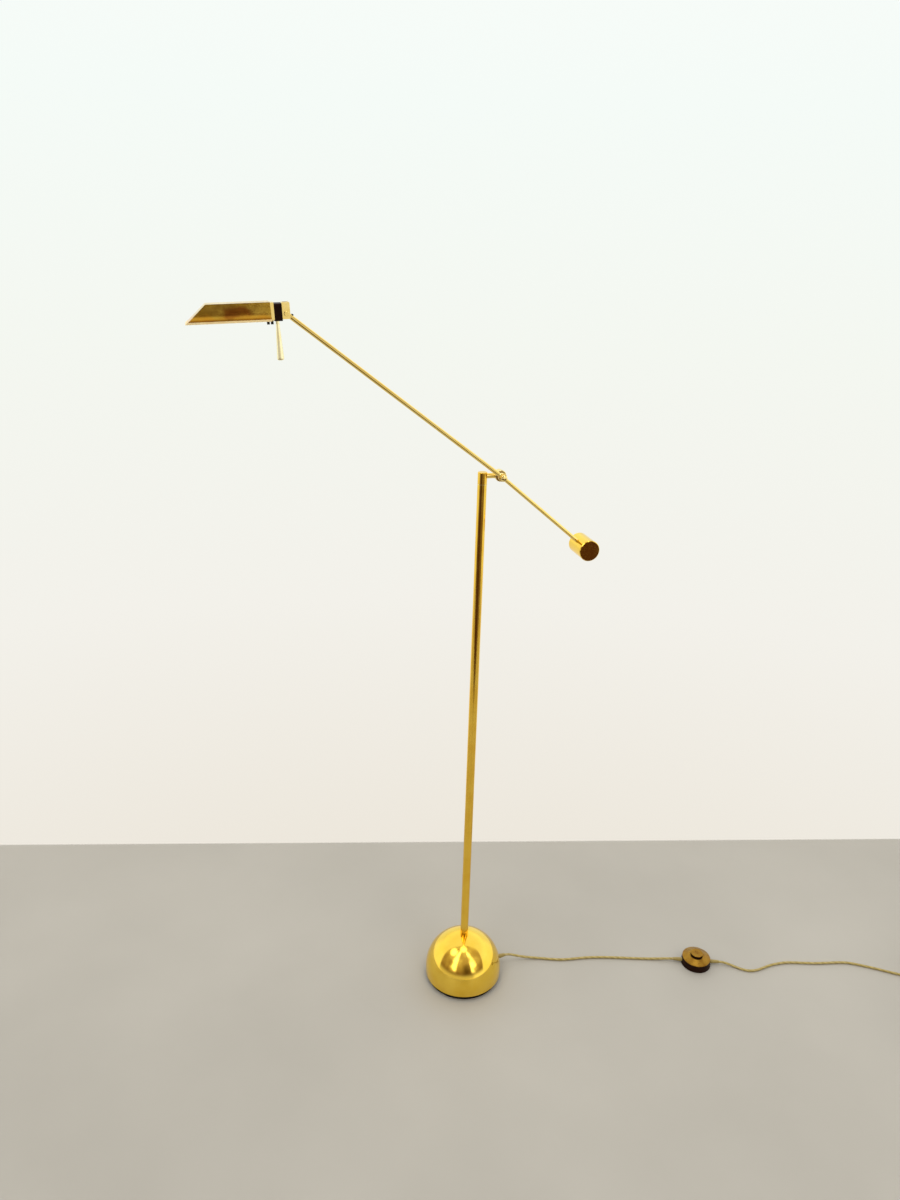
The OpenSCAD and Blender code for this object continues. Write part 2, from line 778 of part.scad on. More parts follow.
module arm_tube() {
    color(brass) on_front() difference() {
        bar_x(tube_r, hub_neck + fit_gap, front_len - eye_neck - fit_gap);
        bar_x(tube_in_r, 0, front_len);
        translate([front_len - tube_screw_s, 0, 0]) rotate([180, 0, 0])
            cylinder(r = tube_screw_r + fit_gap, h = tube_d);
    }
}

module arm_rod() {
    color(brass) on_rear() difference() {
        bar_x(rod_r, hub_neck + fit_gap, rear_len + weight_bite);
        bar_x(rod_pin_r + fit_gap, 0, hub_neck + rod_pin_len + over);
    }
}

module arm_eye() {
    color(brass) on_front() translate([front_len, 0, 0]) difference() {
        union() {
            bar_y(eye_d / 2, -eye_w / 2, eye_w / 2);
            intersection() {
                bar_x(tube_r, -eye_neck, 0);
                block([-eye_neck - over, -eye_w / 2, -tube_d], [over, eye_w / 2, tube_d]);
            }
            bar_x(tube_in_r - fit_gap, -eye_neck - spigot_bite, -eye_neck + over);
        }
        bar_y(tilt_r + run_gap, -eye_w, eye_w);
        bar_x(lead_bore_r, -eye_neck - spigot_bite - over, -tilt_r - 1.5);
    }
}

module arm_lead() {
    color(dark_brown) on_front() bar_x(arm_lead_d / 2, bolt_r + 3, front_len - tilt_r - 2.5);
}

module tube_screw() {
    color(dark_brown) on_front() translate([front_len - tube_screw_s, 0, 0]) rotate([180, 0, 0]) {
        translate([0, 0, tube_in_r + fit_gap]) cylinder(r = tube_screw_r, h = tube_wall + fit_gap);
        translate([0, 0, tube_r + fit_gap]) cylinder(r = tube_screw_head_r, h = tube_screw_head_h);
    }
}

module counterweight() {
    color(brass) on_rear() translate([rear_len, 0, 0]) difference() {
        translate([0, weight_len / 2, 0]) rotate([90, 0, 0]) turned(weight_r, weight_len, weight_bevel);
        bar_x(rod_r + fit_gap, -weight_d, weight_bite + fit_gap);
        rotate([180, 0, 0]) cylinder(d = weight_screw_d + 2 * fit_gap, h = weight_d);
    }
}

module weight_screw() {
    hex_r = weight_screw_d * 0.3;
    color(steel) on_rear() translate([rear_len, 0, 0]) rotate([180, 0, 0]) translate([0, 0, rod_r + fit_gap])
        difference() {
            cylinder(d = weight_screw_d, h = weight_screw_len);
            translate([0, 0, weight_screw_len - 3]) cylinder(r = hex_r, h = 3 + over, $fn = 6);
        }
}

// Head joint and lampholder. Along the head, u runs from the tilt axis to the shade's tip (-X).

module head_knuckle() {
    half = knuckle_w / 2;
    color(brass) on_head() difference() {
        translate([0, half, 0]) rotate([90, 0, 0]) linear_extrude(height = knuckle_w)
            polygon(round_box(-knuckle_front, knuckle_top - knuckle_h, knuckle_back, knuckle_top, 1.5));
        block([-slot_front, -slot_half, -knuckle_h], [knuckle_back + over, slot_half, knuckle_h]);
        bar_y(tilt_r + fit_gap, -knuckle_w, knuckle_w);
        for (s = [-1, 1]) translate([0, s * ear_mid, holder_screw_z]) {
            bar_x(holder_screw_r + fit_gap, -knuckle_front - over, knuckle_back + over);
            bar_x(holder_screw_r * 2 + fit_gap, knuckle_back - 2.5, knuckle_back + over);
        }
    }
}

module tilt_screw() {
    half = knuckle_w / 2;
    color(bright_brass) on_head() difference() {
        union() {
            bar_y(tilt_r, -half - over, half + tilt_screw_d);
            translate([0, -half, 0]) rotate([90, 0, 0]) turned(tilt_head_r, tilt_head_h, 0.7);
        }
        translate([0, -half - tilt_head_h, 0]) block([-tilt_head_r, -over, -0.5], [tilt_head_r, 0.9, 0.5]);
    }
}

module tilt_nut() {
    nut = tilt_screw_d * 0.8;
    color(steel) on_head() translate([0, knuckle_w / 2 + nut, 0]) rotate([90, 0, 0]) difference() {
        cylinder(d = tilt_screw_d * 2, h = nut, $fn = 6);
        translate([0, 0, -over]) cylinder(r = tilt_r + fit_gap, h = nut + 2 * over);
    }
}

module holder_screws() {
    color(steel) on_head() for (s = [-1, 1]) translate([0, s * ear_mid, holder_screw_z]) {
        bar_x(holder_screw_r, -holder_u - holder_screw_bite, knuckle_back - 2);
        bar_x(holder_screw_r * 2, knuckle_back - 2.5, knuckle_back - 0.5);
    }
}

module lampholder() {
    half = holder_w / 2;
    color(dark_brown) on_head() difference() {
        translate([-holder_front, 0, 0]) rotate([90, 0, 90]) linear_extrude(height = holder_len)
            polygon(round_box(-half, holder_bottom, half, holder_top, 2.5));
        translate([0, 0, head_mid])
            block([-holder_front - over, -socket_w / 2 - fit_gap, -socket_h / 2 - fit_gap],
                [socket_depth - holder_front + fit_gap, socket_w / 2 + fit_gap, socket_h / 2 + fit_gap]);
        for (s = [-1, 1]) translate([0, s * ear_mid, holder_screw_z])
            bar_x(holder_screw_r + fit_gap, -holder_u - holder_screw_bite - over, over);
        translate([-grip_u, 0, holder_bottom - over])
            cylinder(r = grip_stud_r + fit_gap, h = grip_stud_len + 2 * over);
    }
}

module bulb_socket() {
    color([0.9, 0.88, 0.82]) on_head() difference() {
        block([-socket_front, -socket_w / 2, head_mid - socket_h / 2],
            [socket_depth - holder_front, socket_w / 2, head_mid + socket_h / 2]);
        for (s = [-1, 1]) translate([0, s * pin_gap / 2, head_mid])
            bar_x(pin_d / 2 + fit_gap, -socket_front - over, pin_bite - socket_front + over);
    }
}

module bulb_pins() {
    color(steel) on_head() for (s = [-1, 1]) translate([0, s * pin_gap / 2, head_mid])
        bar_x(pin_d / 2, -bulb_u, pin_bite - socket_front);
}

module bulb() {
    r = bulb_d / 2;
    color([0.9, 0.93, 0.95, 0.5]) on_head() translate([-bulb_u, 0, head_mid]) rotate([0, -90, 0])
    rotate_extrude() {
        polygon([[0, 0], [r * 0.75, 0], [r * 0.8, r], [r, r * 1.7], [r, bulb_len - r], [0, bulb_len - r]]);
        translate([0, bulb_len - r]) intersection() {
            circle(r = r);
            square(r + over);
        }
    }
}

module grip() {
    end_r = grip_d / 2;
    round_r = end_r / 2;
    body_len = grip_len - round_r;
    color(brass) on_head() translate([-grip_u, 0, holder_bottom]) rotate([180, 0, 0]) {
        translate([0, 0, -grip_stud_len]) cylinder(r = grip_stud_r, h = grip_stud_len + over);
        rotate_extrude() {
            polygon([[0, 0], [grip_neck_d / 2, 0], [grip_neck_d / 2, 4], [end_r, body_len], [0, body_len]]);
            translate([0, body_len]) square([end_r - round_r, round_r]);
            translate([end_r - round_r, body_len]) intersection() {
                circle(r = round_r);
                square(round_r + over);
            }
        }
    }
}

// Shade. Two prisms cross to give the folded sheet: its side outline and its cross-section.

// Side outline by cross-section, grown outwards by grow, between two heights, from the rear at u0
module shade_prisms(grow_u, grow_y, z0, z1, u0, rear_set) {
    front = function (z) shade_top_u + shade_top_len + grow_u + (shade_top - z) * front_run / shade_h;
    half = function (z) shade_top_w / 2 + grow_y + (shade_top - z) * side_run / shade_h;
    intersection() {
        translate([0, shade_w, 0]) rotate([90, 0, 0]) linear_extrude(height = 2 * shade_w)
            polygon([[-u0, z0], [-front(z0), z0], [-front(z1), z1], [-u0 - rear_set, z1]]);
        translate([-front(z0) - over, 0, 0]) rotate([90, 0, 90]) linear_extrude(height = front(z0) + 2 * over)
            polygon([[-half(z0), z0], [half(z0), z0], [half(z1), z1], [-half(z1), z1]]);
    }
}

module shade() {
    tab_half = shade_w / 2 - sheet_t;
    color(brass) on_head() {
        difference() {
            union() {
                shade_prisms(0, 0, shade_bottom, shade_top, shade_side_u, shade_rear_set);
                shade_prisms(hem_t, hem_t, shade_bottom, shade_bottom + hem_h, shade_side_u, 0);
            }
            shade_prisms(-front_shift, -side_shift, shade_bottom - over, shade_top - sheet_t, 0, 0);
        }
        difference() {
            union() {
                block([-shade_u - collar_len, -tab_half, shade_bottom],
                    [-shade_side_u - 0.5, tab_half, shade_bottom + tab_t]);
                block([-shade_u - collar_len, -collar_w / 2, shade_bottom],
                    [-shade_u - 0.5, collar_w / 2, shade_bottom + tab_t]);
            }
            for (u = shade_screw_places()) translate([-u, 0, shade_bottom - over])
                cylinder(r = shade_screw_r + slip, h = tab_t + 2 * over);
        }
    }
}

function shade_screw_places() = [shade_u + 2.8, shade_u + collar_len - 2.6];

module shade_collar() {
    half = collar_w / 2;
    color(bright_brass) on_head() difference() {
        block([-holder_front - collar_len, -half, collar_bottom], [-holder_front, half, collar_top]);
        block([-holder_front - collar_len - over, collar_wall - half, collar_bottom + collar_wall],
            [over - holder_front, half - collar_wall, collar_top - collar_wall]);
        for (u = shade_screw_places()) translate([-u, 0, collar_bottom - over])
            cylinder(r = shade_screw_r + fit_gap, h = shade_screw_bite + over + fit_gap);
    }
}

module shade_screws() {
    color([0.05, 0.05, 0.05]) on_head() for (u = shade_screw_places()) translate([-u, 0, shade_bottom]) {
        translate([0, 0, -shade_screw_head_h]) cylinder(r = shade_screw_head_r, h = shade_screw_head_h);
        translate([0, 0, -over]) cylinder(r = shade_screw_r, h = tab_t + shade_screw_bite + over);
    }
}

// Foot switch

module switch_base() {
    color(dark_brown) at_switch() cylinder(r = switch_in_r - fit_gap, h = switch_base_t);
}

module switch_body() {
    color(dark_brown) at_switch() difference() {
        rotate_extrude() polygon([[switch_in_r, 0], [switch_r - 0.8, 0], [switch_r, 0.8],
            [cover_rim_r, switch_body_h], [switch_in_r, switch_body_h]]);
        translate([0, 0, relief_z]) bar_x(cord_r + relief_wall + slip, -switch_d, switch_d);
    }
}

module switch_cover() {
    color(brass) at_switch() rotate_extrude() polygon([[cover_rim_r, cover_z],
        [cover_rim_r, cover_z + cover_lip_h], [cover_top_r, cover_top_z], [cover_hole_r, cover_top_z],
        [cover_hole_r, cover_top_z - cover_t],
        [cover_top_r, cover_top_z - cover_t], [cover_rim_r - cover_t - switch_wall, cover_z]]);
}

module switch_module() {
    color([0.2, 0.3, 0.2]) at_switch() translate([0, 0, switch_base_t]) difference() {
        union() {
            block([-18, -13, 0], [18, 13, module_h]);
            ring(stop_r + stop_wall, stop_r, stop_top - switch_base_t);
        }
        translate([0, 0, module_h - 1]) ring(spring_r + spring_wire, spring_r - spring_wire, 2);
    }
}

module switch_spring() {
    low = module_top - 1 + spring_wire / 2 + face_gap;
    high = flange_top - flange_t - spring_wire / 2 - face_gap;
    steps = spring_turns * 12;
    color(steel) at_switch() tube([for (i = [0:steps]) let (a = 360 * spring_turns * i / steps)
        [spring_r * cos(a), spring_r * sin(a), low + (high - low) * i / steps]], spring_wire / 2, 6);
}

module switch_reliefs() {
    root_r = cord_r + relief_wall;
    color(cord_gold) at_switch() translate([0, 0, relief_z]) for (s = [0, 180]) rotate([0, 0, s]) {
        difference() {
            bar_x(root_r, switch_in_r - 4, switch_r + over);
            bar_x(bore_r, 0, switch_r + 2 * over);
        }
        translate([switch_r, 0, 0]) relief(root_r, relief_len);
    }
}

module switch_button() {
    color(dark_brown) at_switch() {
        translate([0, 0, flange_top - flange_t]) cylinder(r = flange_r, h = flange_t);
        translate([0, 0, flange_top - over])
            cylinder(r = button_r - 0.4, h = button_top - cap_t - flange_top + over);
    }
}

module button_cap() {
    color(brass) at_switch() translate([0, 0, button_top - cap_t]) turned(button_r, cap_t, 0.6);
}

// Cord, coil and plug

module cord_to_switch() {
    color(cord_gold) tube(smooth(joined(route_to_switch, gland_tip, switch_tip(-1))), cord_r, 10);
}

module cord_to_coil() {
    last = coil_path[0] - fit_gap * coil_way;
    color(cord_gold) tube(smooth(joined(route_to_coil, switch_tip(1), last)), cord_r, 10);
}

// Coil: in along the floor, a climb in half a turn, out again on top, then straight to the plug
function coil_point(a, r, z) = [coil_x + r * cos(coil_az + a), coil_y + r * sin(coil_az + a), z];
coil_way = [-sin(coil_az), cos(coil_az), 0];
climb_start = 360 * turns_in;
climb_end = climb_start + 180;
coil_end = climb_end + 360 * turns_out;
coil_step = 360 / loop_rings;
coil_end_r = coil_in_r + turns_out * coil_pitch;
coil_turns = [for (a = [0:coil_step:coil_end])
    a < climb_start ? coil_point(a, coil_out_r - coil_pitch * a / 360, coil_z)
    : a < climb_end ? coil_point(a, coil_in_r - coil_bulge * sin(a - climb_start),
        coil_z + (coil_z2 - coil_z) * (1 - cos(a - climb_start)) / 2)
    : coil_point(a, coil_in_r + coil_pitch * (a - climb_end) / 360, coil_z2)];
coil_path = concat([coil_turns[0] - cord_d * coil_way], coil_turns,
    [for (s = [cord_d, plug_lead / 2, plug_lead]) coil_point(coil_end, coil_end_r, coil_z2) + s * coil_way]);

// Least distance between two stretches of the coil that are half a turn or more apart
coil_gap = min([for (i = [0:len(coil_turns) - 1]) for (j = [i + loop_rings / 2:1:len(coil_turns) - 1])
    norm(coil_turns[i] - coil_turns[j])]) - cord_d;
echo(coil_least_gap = coil_gap);

module cord_coil() {
    color(cord_gold) tube(coil_path, cord_r, 6);
}

module cord_tie() {
    inner = coil_in_r + coil_pitch / 4 - cord_r - tie_side;
    outer = coil_out_r - coil_pitch * 3 / 4 + cord_r + tie_side;
    top = coil_z2 + cord_r + tie_gap;
    color([0.08, 0.08, 0.08]) translate([coil_x, coil_y, 0]) rotate([0, 0, coil_az - 90])
        translate([0, tie_w / 2, 0]) rotate([90, 0, 0]) linear_extrude(height = tie_w) difference() {
            polygon(round_box(inner - tie_t, 0, outer + tie_t, top + tie_t, 2));
            polygon(round_box(inner, tie_t, outer, top, 1.5));
        }
}

module at_plug() {
    translate(coil_path[len(coil_path) - 1]) rotate([0, 0, coil_az + 90]) children();
}

module plug_body() {
    x0 = fit_gap + plug_neck_len;
    color(cord_gold) at_plug() difference() {
        union() {
            translate([fit_gap, 0, 0]) rotate([0, 90, 0])
                cylinder(r1 = cord_r + 0.6, r2 = plug_neck_r + 1, h = plug_neck_len + over);
            translate([x0, 0, 0]) rotate([90, 0, 90]) linear_extrude(height = plug_len)
                polygon(round_box(-plug_w / 2, -plug_half_t, plug_w / 2, plug_half_t, 6));
        }
        for (s = [-1, 1]) translate([0, s * plug_pin_gap / 2, 0])
            bar_x(plug_pin_r + fit_gap, x0 + plug_len - 8 - fit_gap, x0 + plug_len + over);
    }
}

module plug_pins() {
    x1 = fit_gap + plug_neck_len + plug_len;
    color(steel) at_plug() for (s = [-1, 1]) translate([0, s * plug_pin_gap / 2, 0]) {
        bar_x(plug_pin_r, x1 - 8, x1 + plug_pin_len - 1);
        translate([x1 + plug_pin_len - 1, 0, 0]) rotate([0, 90, 0])
            cylinder(r1 = plug_pin_r, r2 = plug_pin_r * 0.6, h = 1);
    }
}

base_dome();
base_core();
transformer();
transformer_clamp();
transformer_bolt();
base_plate();
felt_pad();
plate_screws();
pole_nipple();
pole_washer();
pole_nut();
pole();
pole_lead();
swivel_bush();
swivel_washer();
cord_gland();
swivel_cap();
swivel_clip();
bracket_stub();
pivot_boss();
pivot_bolt();
friction_washer();
arm_hub();
arm_tube();
arm_rod();
arm_eye();
arm_lead();
tube_screw();
spring_washer();
counterweight();
weight_screw();
tension_knob();
head_knuckle();
tilt_screw();
tilt_nut();
holder_screws();
lampholder();
bulb_socket();
bulb();
bulb_pins();
shade_collar();
shade();
shade_screws();
grip();
switch_base();
switch_body();
switch_cover();
switch_module();
switch_spring();
switch_reliefs();
switch_button();
button_cap();
cord_to_switch();
cord_to_coil();
cord_coil();
cord_tie();
plug_body();
plug_pins();
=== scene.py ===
"""Looks of the counterbalance floor lamp: cords, spring, bulb, materials, floor, light and camera."""
import math

import bmesh
import bpy
from mathutils import Matrix, Vector


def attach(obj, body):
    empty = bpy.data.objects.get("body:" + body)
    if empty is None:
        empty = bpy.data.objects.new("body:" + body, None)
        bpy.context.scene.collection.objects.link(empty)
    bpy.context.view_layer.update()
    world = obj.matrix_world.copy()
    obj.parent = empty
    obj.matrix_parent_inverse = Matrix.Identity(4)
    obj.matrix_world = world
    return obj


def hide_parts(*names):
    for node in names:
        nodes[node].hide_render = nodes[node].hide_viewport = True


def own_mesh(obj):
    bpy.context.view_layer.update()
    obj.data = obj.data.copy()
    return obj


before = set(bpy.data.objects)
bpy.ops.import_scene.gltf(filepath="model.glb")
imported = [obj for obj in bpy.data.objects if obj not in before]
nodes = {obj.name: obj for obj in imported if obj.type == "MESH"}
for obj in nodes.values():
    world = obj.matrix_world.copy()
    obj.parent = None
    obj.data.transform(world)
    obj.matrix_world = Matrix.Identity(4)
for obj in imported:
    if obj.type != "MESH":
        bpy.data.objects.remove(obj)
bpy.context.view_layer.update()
scene = bpy.context.scene
scene.view_settings.view_transform = "Standard"
UP = Vector((0, 0, 1))

# Camera, worked out from the photograph: metres, degrees and the film's millimetres
HEADING = Vector((0.2723, 0.9622, 0.0))
SIDE = Vector((HEADING.y, -HEADING.x, 0.0))
CAMERA_PLACE = Vector((-0.5301, -1.6630, 1.6870))
CAMERA_TURN = -15.8
CAMERA_DROP = 21.6
CAMERA_ROLL = 1.6
LENS = 27.0
SENSOR = 36.0
NEAREST = 0.05

camera_data = bpy.data.cameras.new("camera")
camera_data.lens = LENS
camera_data.sensor_width = SENSOR
camera_data.clip_start = NEAREST
camera = bpy.data.objects.new("camera", camera_data)
scene.collection.objects.link(camera)
turn = Matrix.Rotation(math.radians(CAMERA_TURN), 4, "Z")
tip = Matrix.Rotation(math.radians(90 - CAMERA_DROP), 4, "X")
roll = Matrix.Rotation(math.radians(CAMERA_ROLL), 4, "Z")
camera.matrix_world = Matrix.Translation(CAMERA_PLACE) @ turn @ tip @ roll
scene.camera = camera

# Sizes of the cords and their routes, shared with the CAD model, in millimetres
BASE_R = 92.0
CORD_R = 3.0
CORD_SIDES = 16
SLIP = 0.3
FIT = 0.05
FLOOR_GAP = 0.1
RELIEF = 20.0
EXIT_AZ = math.radians(5)
EXIT_HEIGHT = 22.0
SWITCH = Vector((586.0, -109.0, 8.0))
SWITCH_R = 36.5
SWITCH_AZ = math.radians(-19)
COIL = Vector((1150.0, -272.0, 0.0))
COIL_AZ = 235.0
COIL_IN = 26.0
COIL_PITCH = 6.6
COIL_LOW = 3.9
COIL_HIGH = 10.5
COIL_TURNS = 3
COIL_OUT = COIL_IN + COIL_TURNS * COIL_PITCH
CLIMB_DIP = 2.0
PLUG_RUN = 0.96 * COIL_OUT

# Angles along the coil, in degrees: inwards on the floor, a climb in half a turn, then outwards on top
COIL_STEP = 6
INWARD_END = 360 * COIL_TURNS
CLIMB_END = INWARD_END + 180
OUTWARD_END = 2 * INWARD_END

ROUTE_TO_SWITCH = [
    (111.9, 9.8, 22), (124.5, 9.6, 20.8), (138, 8.2, 16.9), (152.5, 7, 11.6), (168, 5.5, 7.2),
    (185, 2.5, 4.4), (206, -3.5, 3.2), (231, -12.5, 3.1), (257, -20, 3.1), (285, -24, 3.1),
    (313, -27, 3.1), (342, -32, 3.1), (374, -40, 3.1), (406, -49, 3.1), (438, -58.5, 3.1),
    (468, -67, 3.3), (492, -74, 4.4), (513, -80.8, 6.6), (533.5, -87.6, 8)]
ROUTE_TO_COIL = [
    (640.5, -124.4, 8), (652, -128.8, 7.2), (665, -137, 5.2), (678, -148, 3.6), (690, -158.5, 3.1),
    (704, -166.5, 3.1), (724, -169.3, 3.1), (746, -166.5, 3.1), (768, -163.5, 3.1), (792, -163.3, 3.1),
    (816, -166, 3.1), (848, -175, 3.1), (882, -185, 3.1), (916, -192, 3.1), (948, -198.5, 3.1),
    (972, -207, 3.1), (1000, -223.5, 3.1), (1026, -240.5, 3.1), (1050, -257.5, 3.2), (1074, -274.5, 3.6),
    (1098, -291.2, 3.8), (1118.8, -306, 3.9)]


def joined(points, first, last):
    """The route moved so that its ends are at first and last."""
    points = [Vector(p) for p in points]
    n = len(points) - 1
    moved = []
    for i, p in enumerate(points):
        q = p + (first - points[0]) * (1 - i / n) + (last - points[n]) * (i / n)
        q.z = max(q.z, CORD_R + FLOOR_GAP)
        moved.append(q)
    return moved


def smooth(points, steps=6):
    """Points on the smooth curve through the given ones."""
    made = []
    n = len(points) - 1
    for i in range(n):
        a, b, c, d = points[max(i - 1, 0)], points[i], points[i + 1], points[min(i + 2, n)]
        for k in range(steps):
            t = k / steps
            made.append(0.5 * (2 * b + (c - a) * t + (2 * a - 5 * b + 4 * c - d) * t * t
                               + (3 * b - a - 3 * c + d) * t ** 3))
    made.append(points[n].copy())
    return made


def coil_point(angle, radius, height):
    """Point of the coil at an angle in degrees from its start."""
    a = math.radians(COIL_AZ + angle)
    return Vector((COIL.x + radius * math.cos(a), COIL.y + radius * math.sin(a), height))


def coil_points():
    """The coil's turns, from the outside on the floor to the outside on top."""
    made = []
    for angle in range(0, OUTWARD_END + COIL_STEP, COIL_STEP):
        if angle < INWARD_END:
            radius = COIL_OUT - COIL_PITCH * angle / 360
            height = COIL_LOW
        elif angle < CLIMB_END:
            a = math.radians(angle - INWARD_END)
            radius = COIL_IN - CLIMB_DIP * math.sin(a)
            height = COIL_LOW + (COIL_HIGH - COIL_LOW) * (1 - math.cos(a)) / 2
        else:
            radius = COIL_IN + COIL_PITCH * (angle - CLIMB_END) / 360
            height = COIL_HIGH
        made.append(coil_point(angle, radius, height))
    return made


def metres(points):
    return [p / 1000 for p in points]


def finished_mesh(name, bm):
    """Mesh from a closed bmesh, with its faces turned outwards."""
    bmesh.ops.recalc_face_normals(bm, faces=bm.faces)
    mesh = bpy.data.meshes.new(name)
    bm.to_mesh(mesh)
    bm.free()
    return mesh


def new_piece(name, mesh, body):
    """Object from a mesh with smooth faces, riding on a body."""
    for polygon in mesh.polygons:
        polygon.use_smooth = True
    piece = bpy.data.objects.new(name, mesh)
    scene.collection.objects.link(piece)
    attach(piece, body)
    return piece


def tube_ring(bm, points, i, radius, sides):
    """Ring of vertices round point i, square to the way there."""
    way = (points[min(i + 1, len(points) - 1)] - points[max(i - 1, 0)]).normalized()
    steep = 0.9
    guide = UP if abs(way.z) < steep else Vector((0, 1, 0))
    side = way.cross(guide).normalized()
    top = side.cross(way)
    ring = []
    for k in range(sides):
        a = 2 * math.pi * k / sides
        ring.append(bm.verts.new(points[i] + radius * (math.cos(a) * side + math.sin(a) * top)))
    return ring


def tube_piece(name, points, radius, body, sides=8, with_uv=False):
    """Round tube along points in metres. Its UV, if any, has U round it and V along it in metres."""
    bm = bmesh.new()
    uv = bm.loops.layers.uv.new("UVMap") if with_uv else None
    run = [0.0]
    for a, b in zip(points, points[1:]):
        run.append(run[-1] + (b - a).length)
    rings = [tube_ring(bm, points, i, radius, sides) for i in range(len(points))]
    for i, (low, high) in enumerate(zip(rings, rings[1:])):
        for k in range(sides):
            j = (k + 1) % sides
            face = bm.faces.new((low[k], low[j], high[j], high[k]))
            if with_uv:
                corners = ((k, i), (k + 1, i), (k + 1, i + 1), (k, i + 1))
                for loop, (turned, row) in zip(face.loops, corners):
                    loop[uv].uv = (turned / sides, run[row])
    bm.faces.new(list(reversed(rings[0])))
    bm.faces.new(rings[-1])
    return new_piece(name, finished_mesh(name, bm), body)


# Return spring under the foot button: a wire coil, in metres
SPRING_R = 0.009
SPRING_WIRE = 0.0006
SPRING_TURNS = 4
SPRING_STEPS = 28
spring_node = nodes["switch_spring"]
spring_box = [spring_node.matrix_world @ Vector(corner) for corner in spring_node.bound_box]
spring_low = min(corner.z for corner in spring_box)
spring_high = max(corner.z for corner in spring_box)
spring_foot = (SWITCH.x / 1000, SWITCH.y / 1000, spring_low)
spring_climb = spring_high - spring_low - 2 * SPRING_WIRE
spring_points = []
for k in range(SPRING_TURNS * SPRING_STEPS + 1):
    a = 2 * math.pi * k / SPRING_STEPS
    lift = SPRING_WIRE + spring_climb * k / (SPRING_TURNS * SPRING_STEPS)
    spring_points.append(Vector(spring_foot) + Vector((SPRING_R * math.cos(a), SPRING_R * math.sin(a), lift)))
button_spring = tube_piece("button_spring", spring_points, SPRING_WIRE, "stand")
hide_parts("switch_spring")
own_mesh(button_spring)

# Cords
gland_tip = Vector((math.cos(EXIT_AZ), math.sin(EXIT_AZ), 0)) * (BASE_R + SLIP + RELIEF + FIT)
gland_tip.z = EXIT_HEIGHT
switch_way = Vector((math.cos(SWITCH_AZ), math.sin(SWITCH_AZ), 0))
switch_in = SWITCH - switch_way * (SWITCH_R + RELIEF + FIT)
switch_out = SWITCH + switch_way * (SWITCH_R + RELIEF + FIT)
coil_way = Vector((-math.sin(math.radians(COIL_AZ)), math.cos(math.radians(COIL_AZ)), 0))
coil_turns = coil_points()
coil_start = coil_turns[0] - 2 * CORD_R * coil_way
coil_end = coil_turns[-1] + PLUG_RUN * coil_way
first_path = metres(smooth(joined(ROUTE_TO_SWITCH, gland_tip, switch_in)))
second_path = smooth(joined(ROUTE_TO_COIL, switch_out, coil_start - FIT * coil_way))
second_path = metres(second_path + coil_turns + [coil_turns[-1] + 2 * CORD_R * coil_way, coil_end])
cord_first = tube_piece("cord_first", first_path, CORD_R / 1000, "stand", CORD_SIDES, with_uv=True)
cord_second = tube_piece("cord_second", second_path, CORD_R / 1000, "stand", CORD_SIDES, with_uv=True)
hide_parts("cord_to_switch")
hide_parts("cord_to_coil", "cord_coil")

# Head frame, as in the CAD model: X runs from the tilt axis to the rear, sizes in millimetres
PIVOT = Vector((36, -15.1, 1261.9))
ARM_LENGTH = 511
ARM_RISE = math.radians(36.75)
HEAD_DROP = math.radians(-2.7)
HEAD = (PIVOT + ARM_LENGTH * Vector((-math.cos(ARM_RISE), 0, math.sin(ARM_RISE)))) / 1000
head_frame = Matrix.Translation(HEAD) @ Matrix.Rotation(HEAD_DROP, 4, "Y")


def turned_mesh(name, profile, place, sides=48):
    """Closed mesh turned from (radius, along) pairs in millimetres about the local Z of place."""
    bm = bmesh.new()
    rings = []
    for r, z in profile:
        if r == 0:
            rings.append([bm.verts.new((0, 0, z / 1000))])
        else:
            rings.append([bm.verts.new((r / 1000 * math.cos(2 * math.pi * k / sides),
                                        r / 1000 * math.sin(2 * math.pi * k / sides), z / 1000))
                          for k in range(sides)])
    for low, high in zip(rings, rings[1:]):
        for k in range(sides):
            j = (k + 1) % sides
            corners = [low[k % len(low)], low[j % len(low)], high[j % len(high)], high[k % len(high)]]
            kept = [v for i, v in enumerate(corners) if v not in corners[:i]]
            if len(kept) > 2:
                bm.faces.new(kept)
    bm.transform(place)
    return finished_mesh(name, bm)


# Bulb: hollow quartz capsule with a pinched root, profiles in millimetres
BULB_ROOT = (-0.029, 0, 0.005)
GLASS_R = 6
CAVITY_R = 5.1
NOSE = 27
NOSE_ANGLES = (0.3, 0.6, 0.9, 1.2, 1.4)
bulb_frame = head_frame @ Matrix.Translation(BULB_ROOT) @ Matrix.Rotation(math.radians(-90), 4, "Y")


def nose(radius):
    """Profile of the capsule's round end."""
    return [(radius * math.cos(a), NOSE + radius * math.sin(a)) for a in NOSE_ANGLES] + [(0, NOSE + radius)]


outer = [(0, 0), (4.4, 0), (4.6, 3), (4.8, 6), (5.6, 9), (GLASS_R, 11), (GLASS_R, NOSE)] + nose(GLASS_R)
inner = [(0, 9), (3.6, 9.5), (4.7, 11.5), (CAVITY_R, 13), (CAVITY_R, NOSE)] + nose(CAVITY_R)
glass_mesh = turned_mesh("bulb_glass", outer, bulb_frame)
cavity_mesh = turned_mesh("bulb_cavity", inner, bulb_frame)
bm = bmesh.new()
bm.from_mesh(cavity_mesh)
bmesh.ops.reverse_faces(bm, faces=bm.faces)
bm.from_mesh(glass_mesh)
bm.to_mesh(glass_mesh)
bm.free()
bulb_glass = new_piece("bulb_glass", glass_mesh, "head")
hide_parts("bulb")

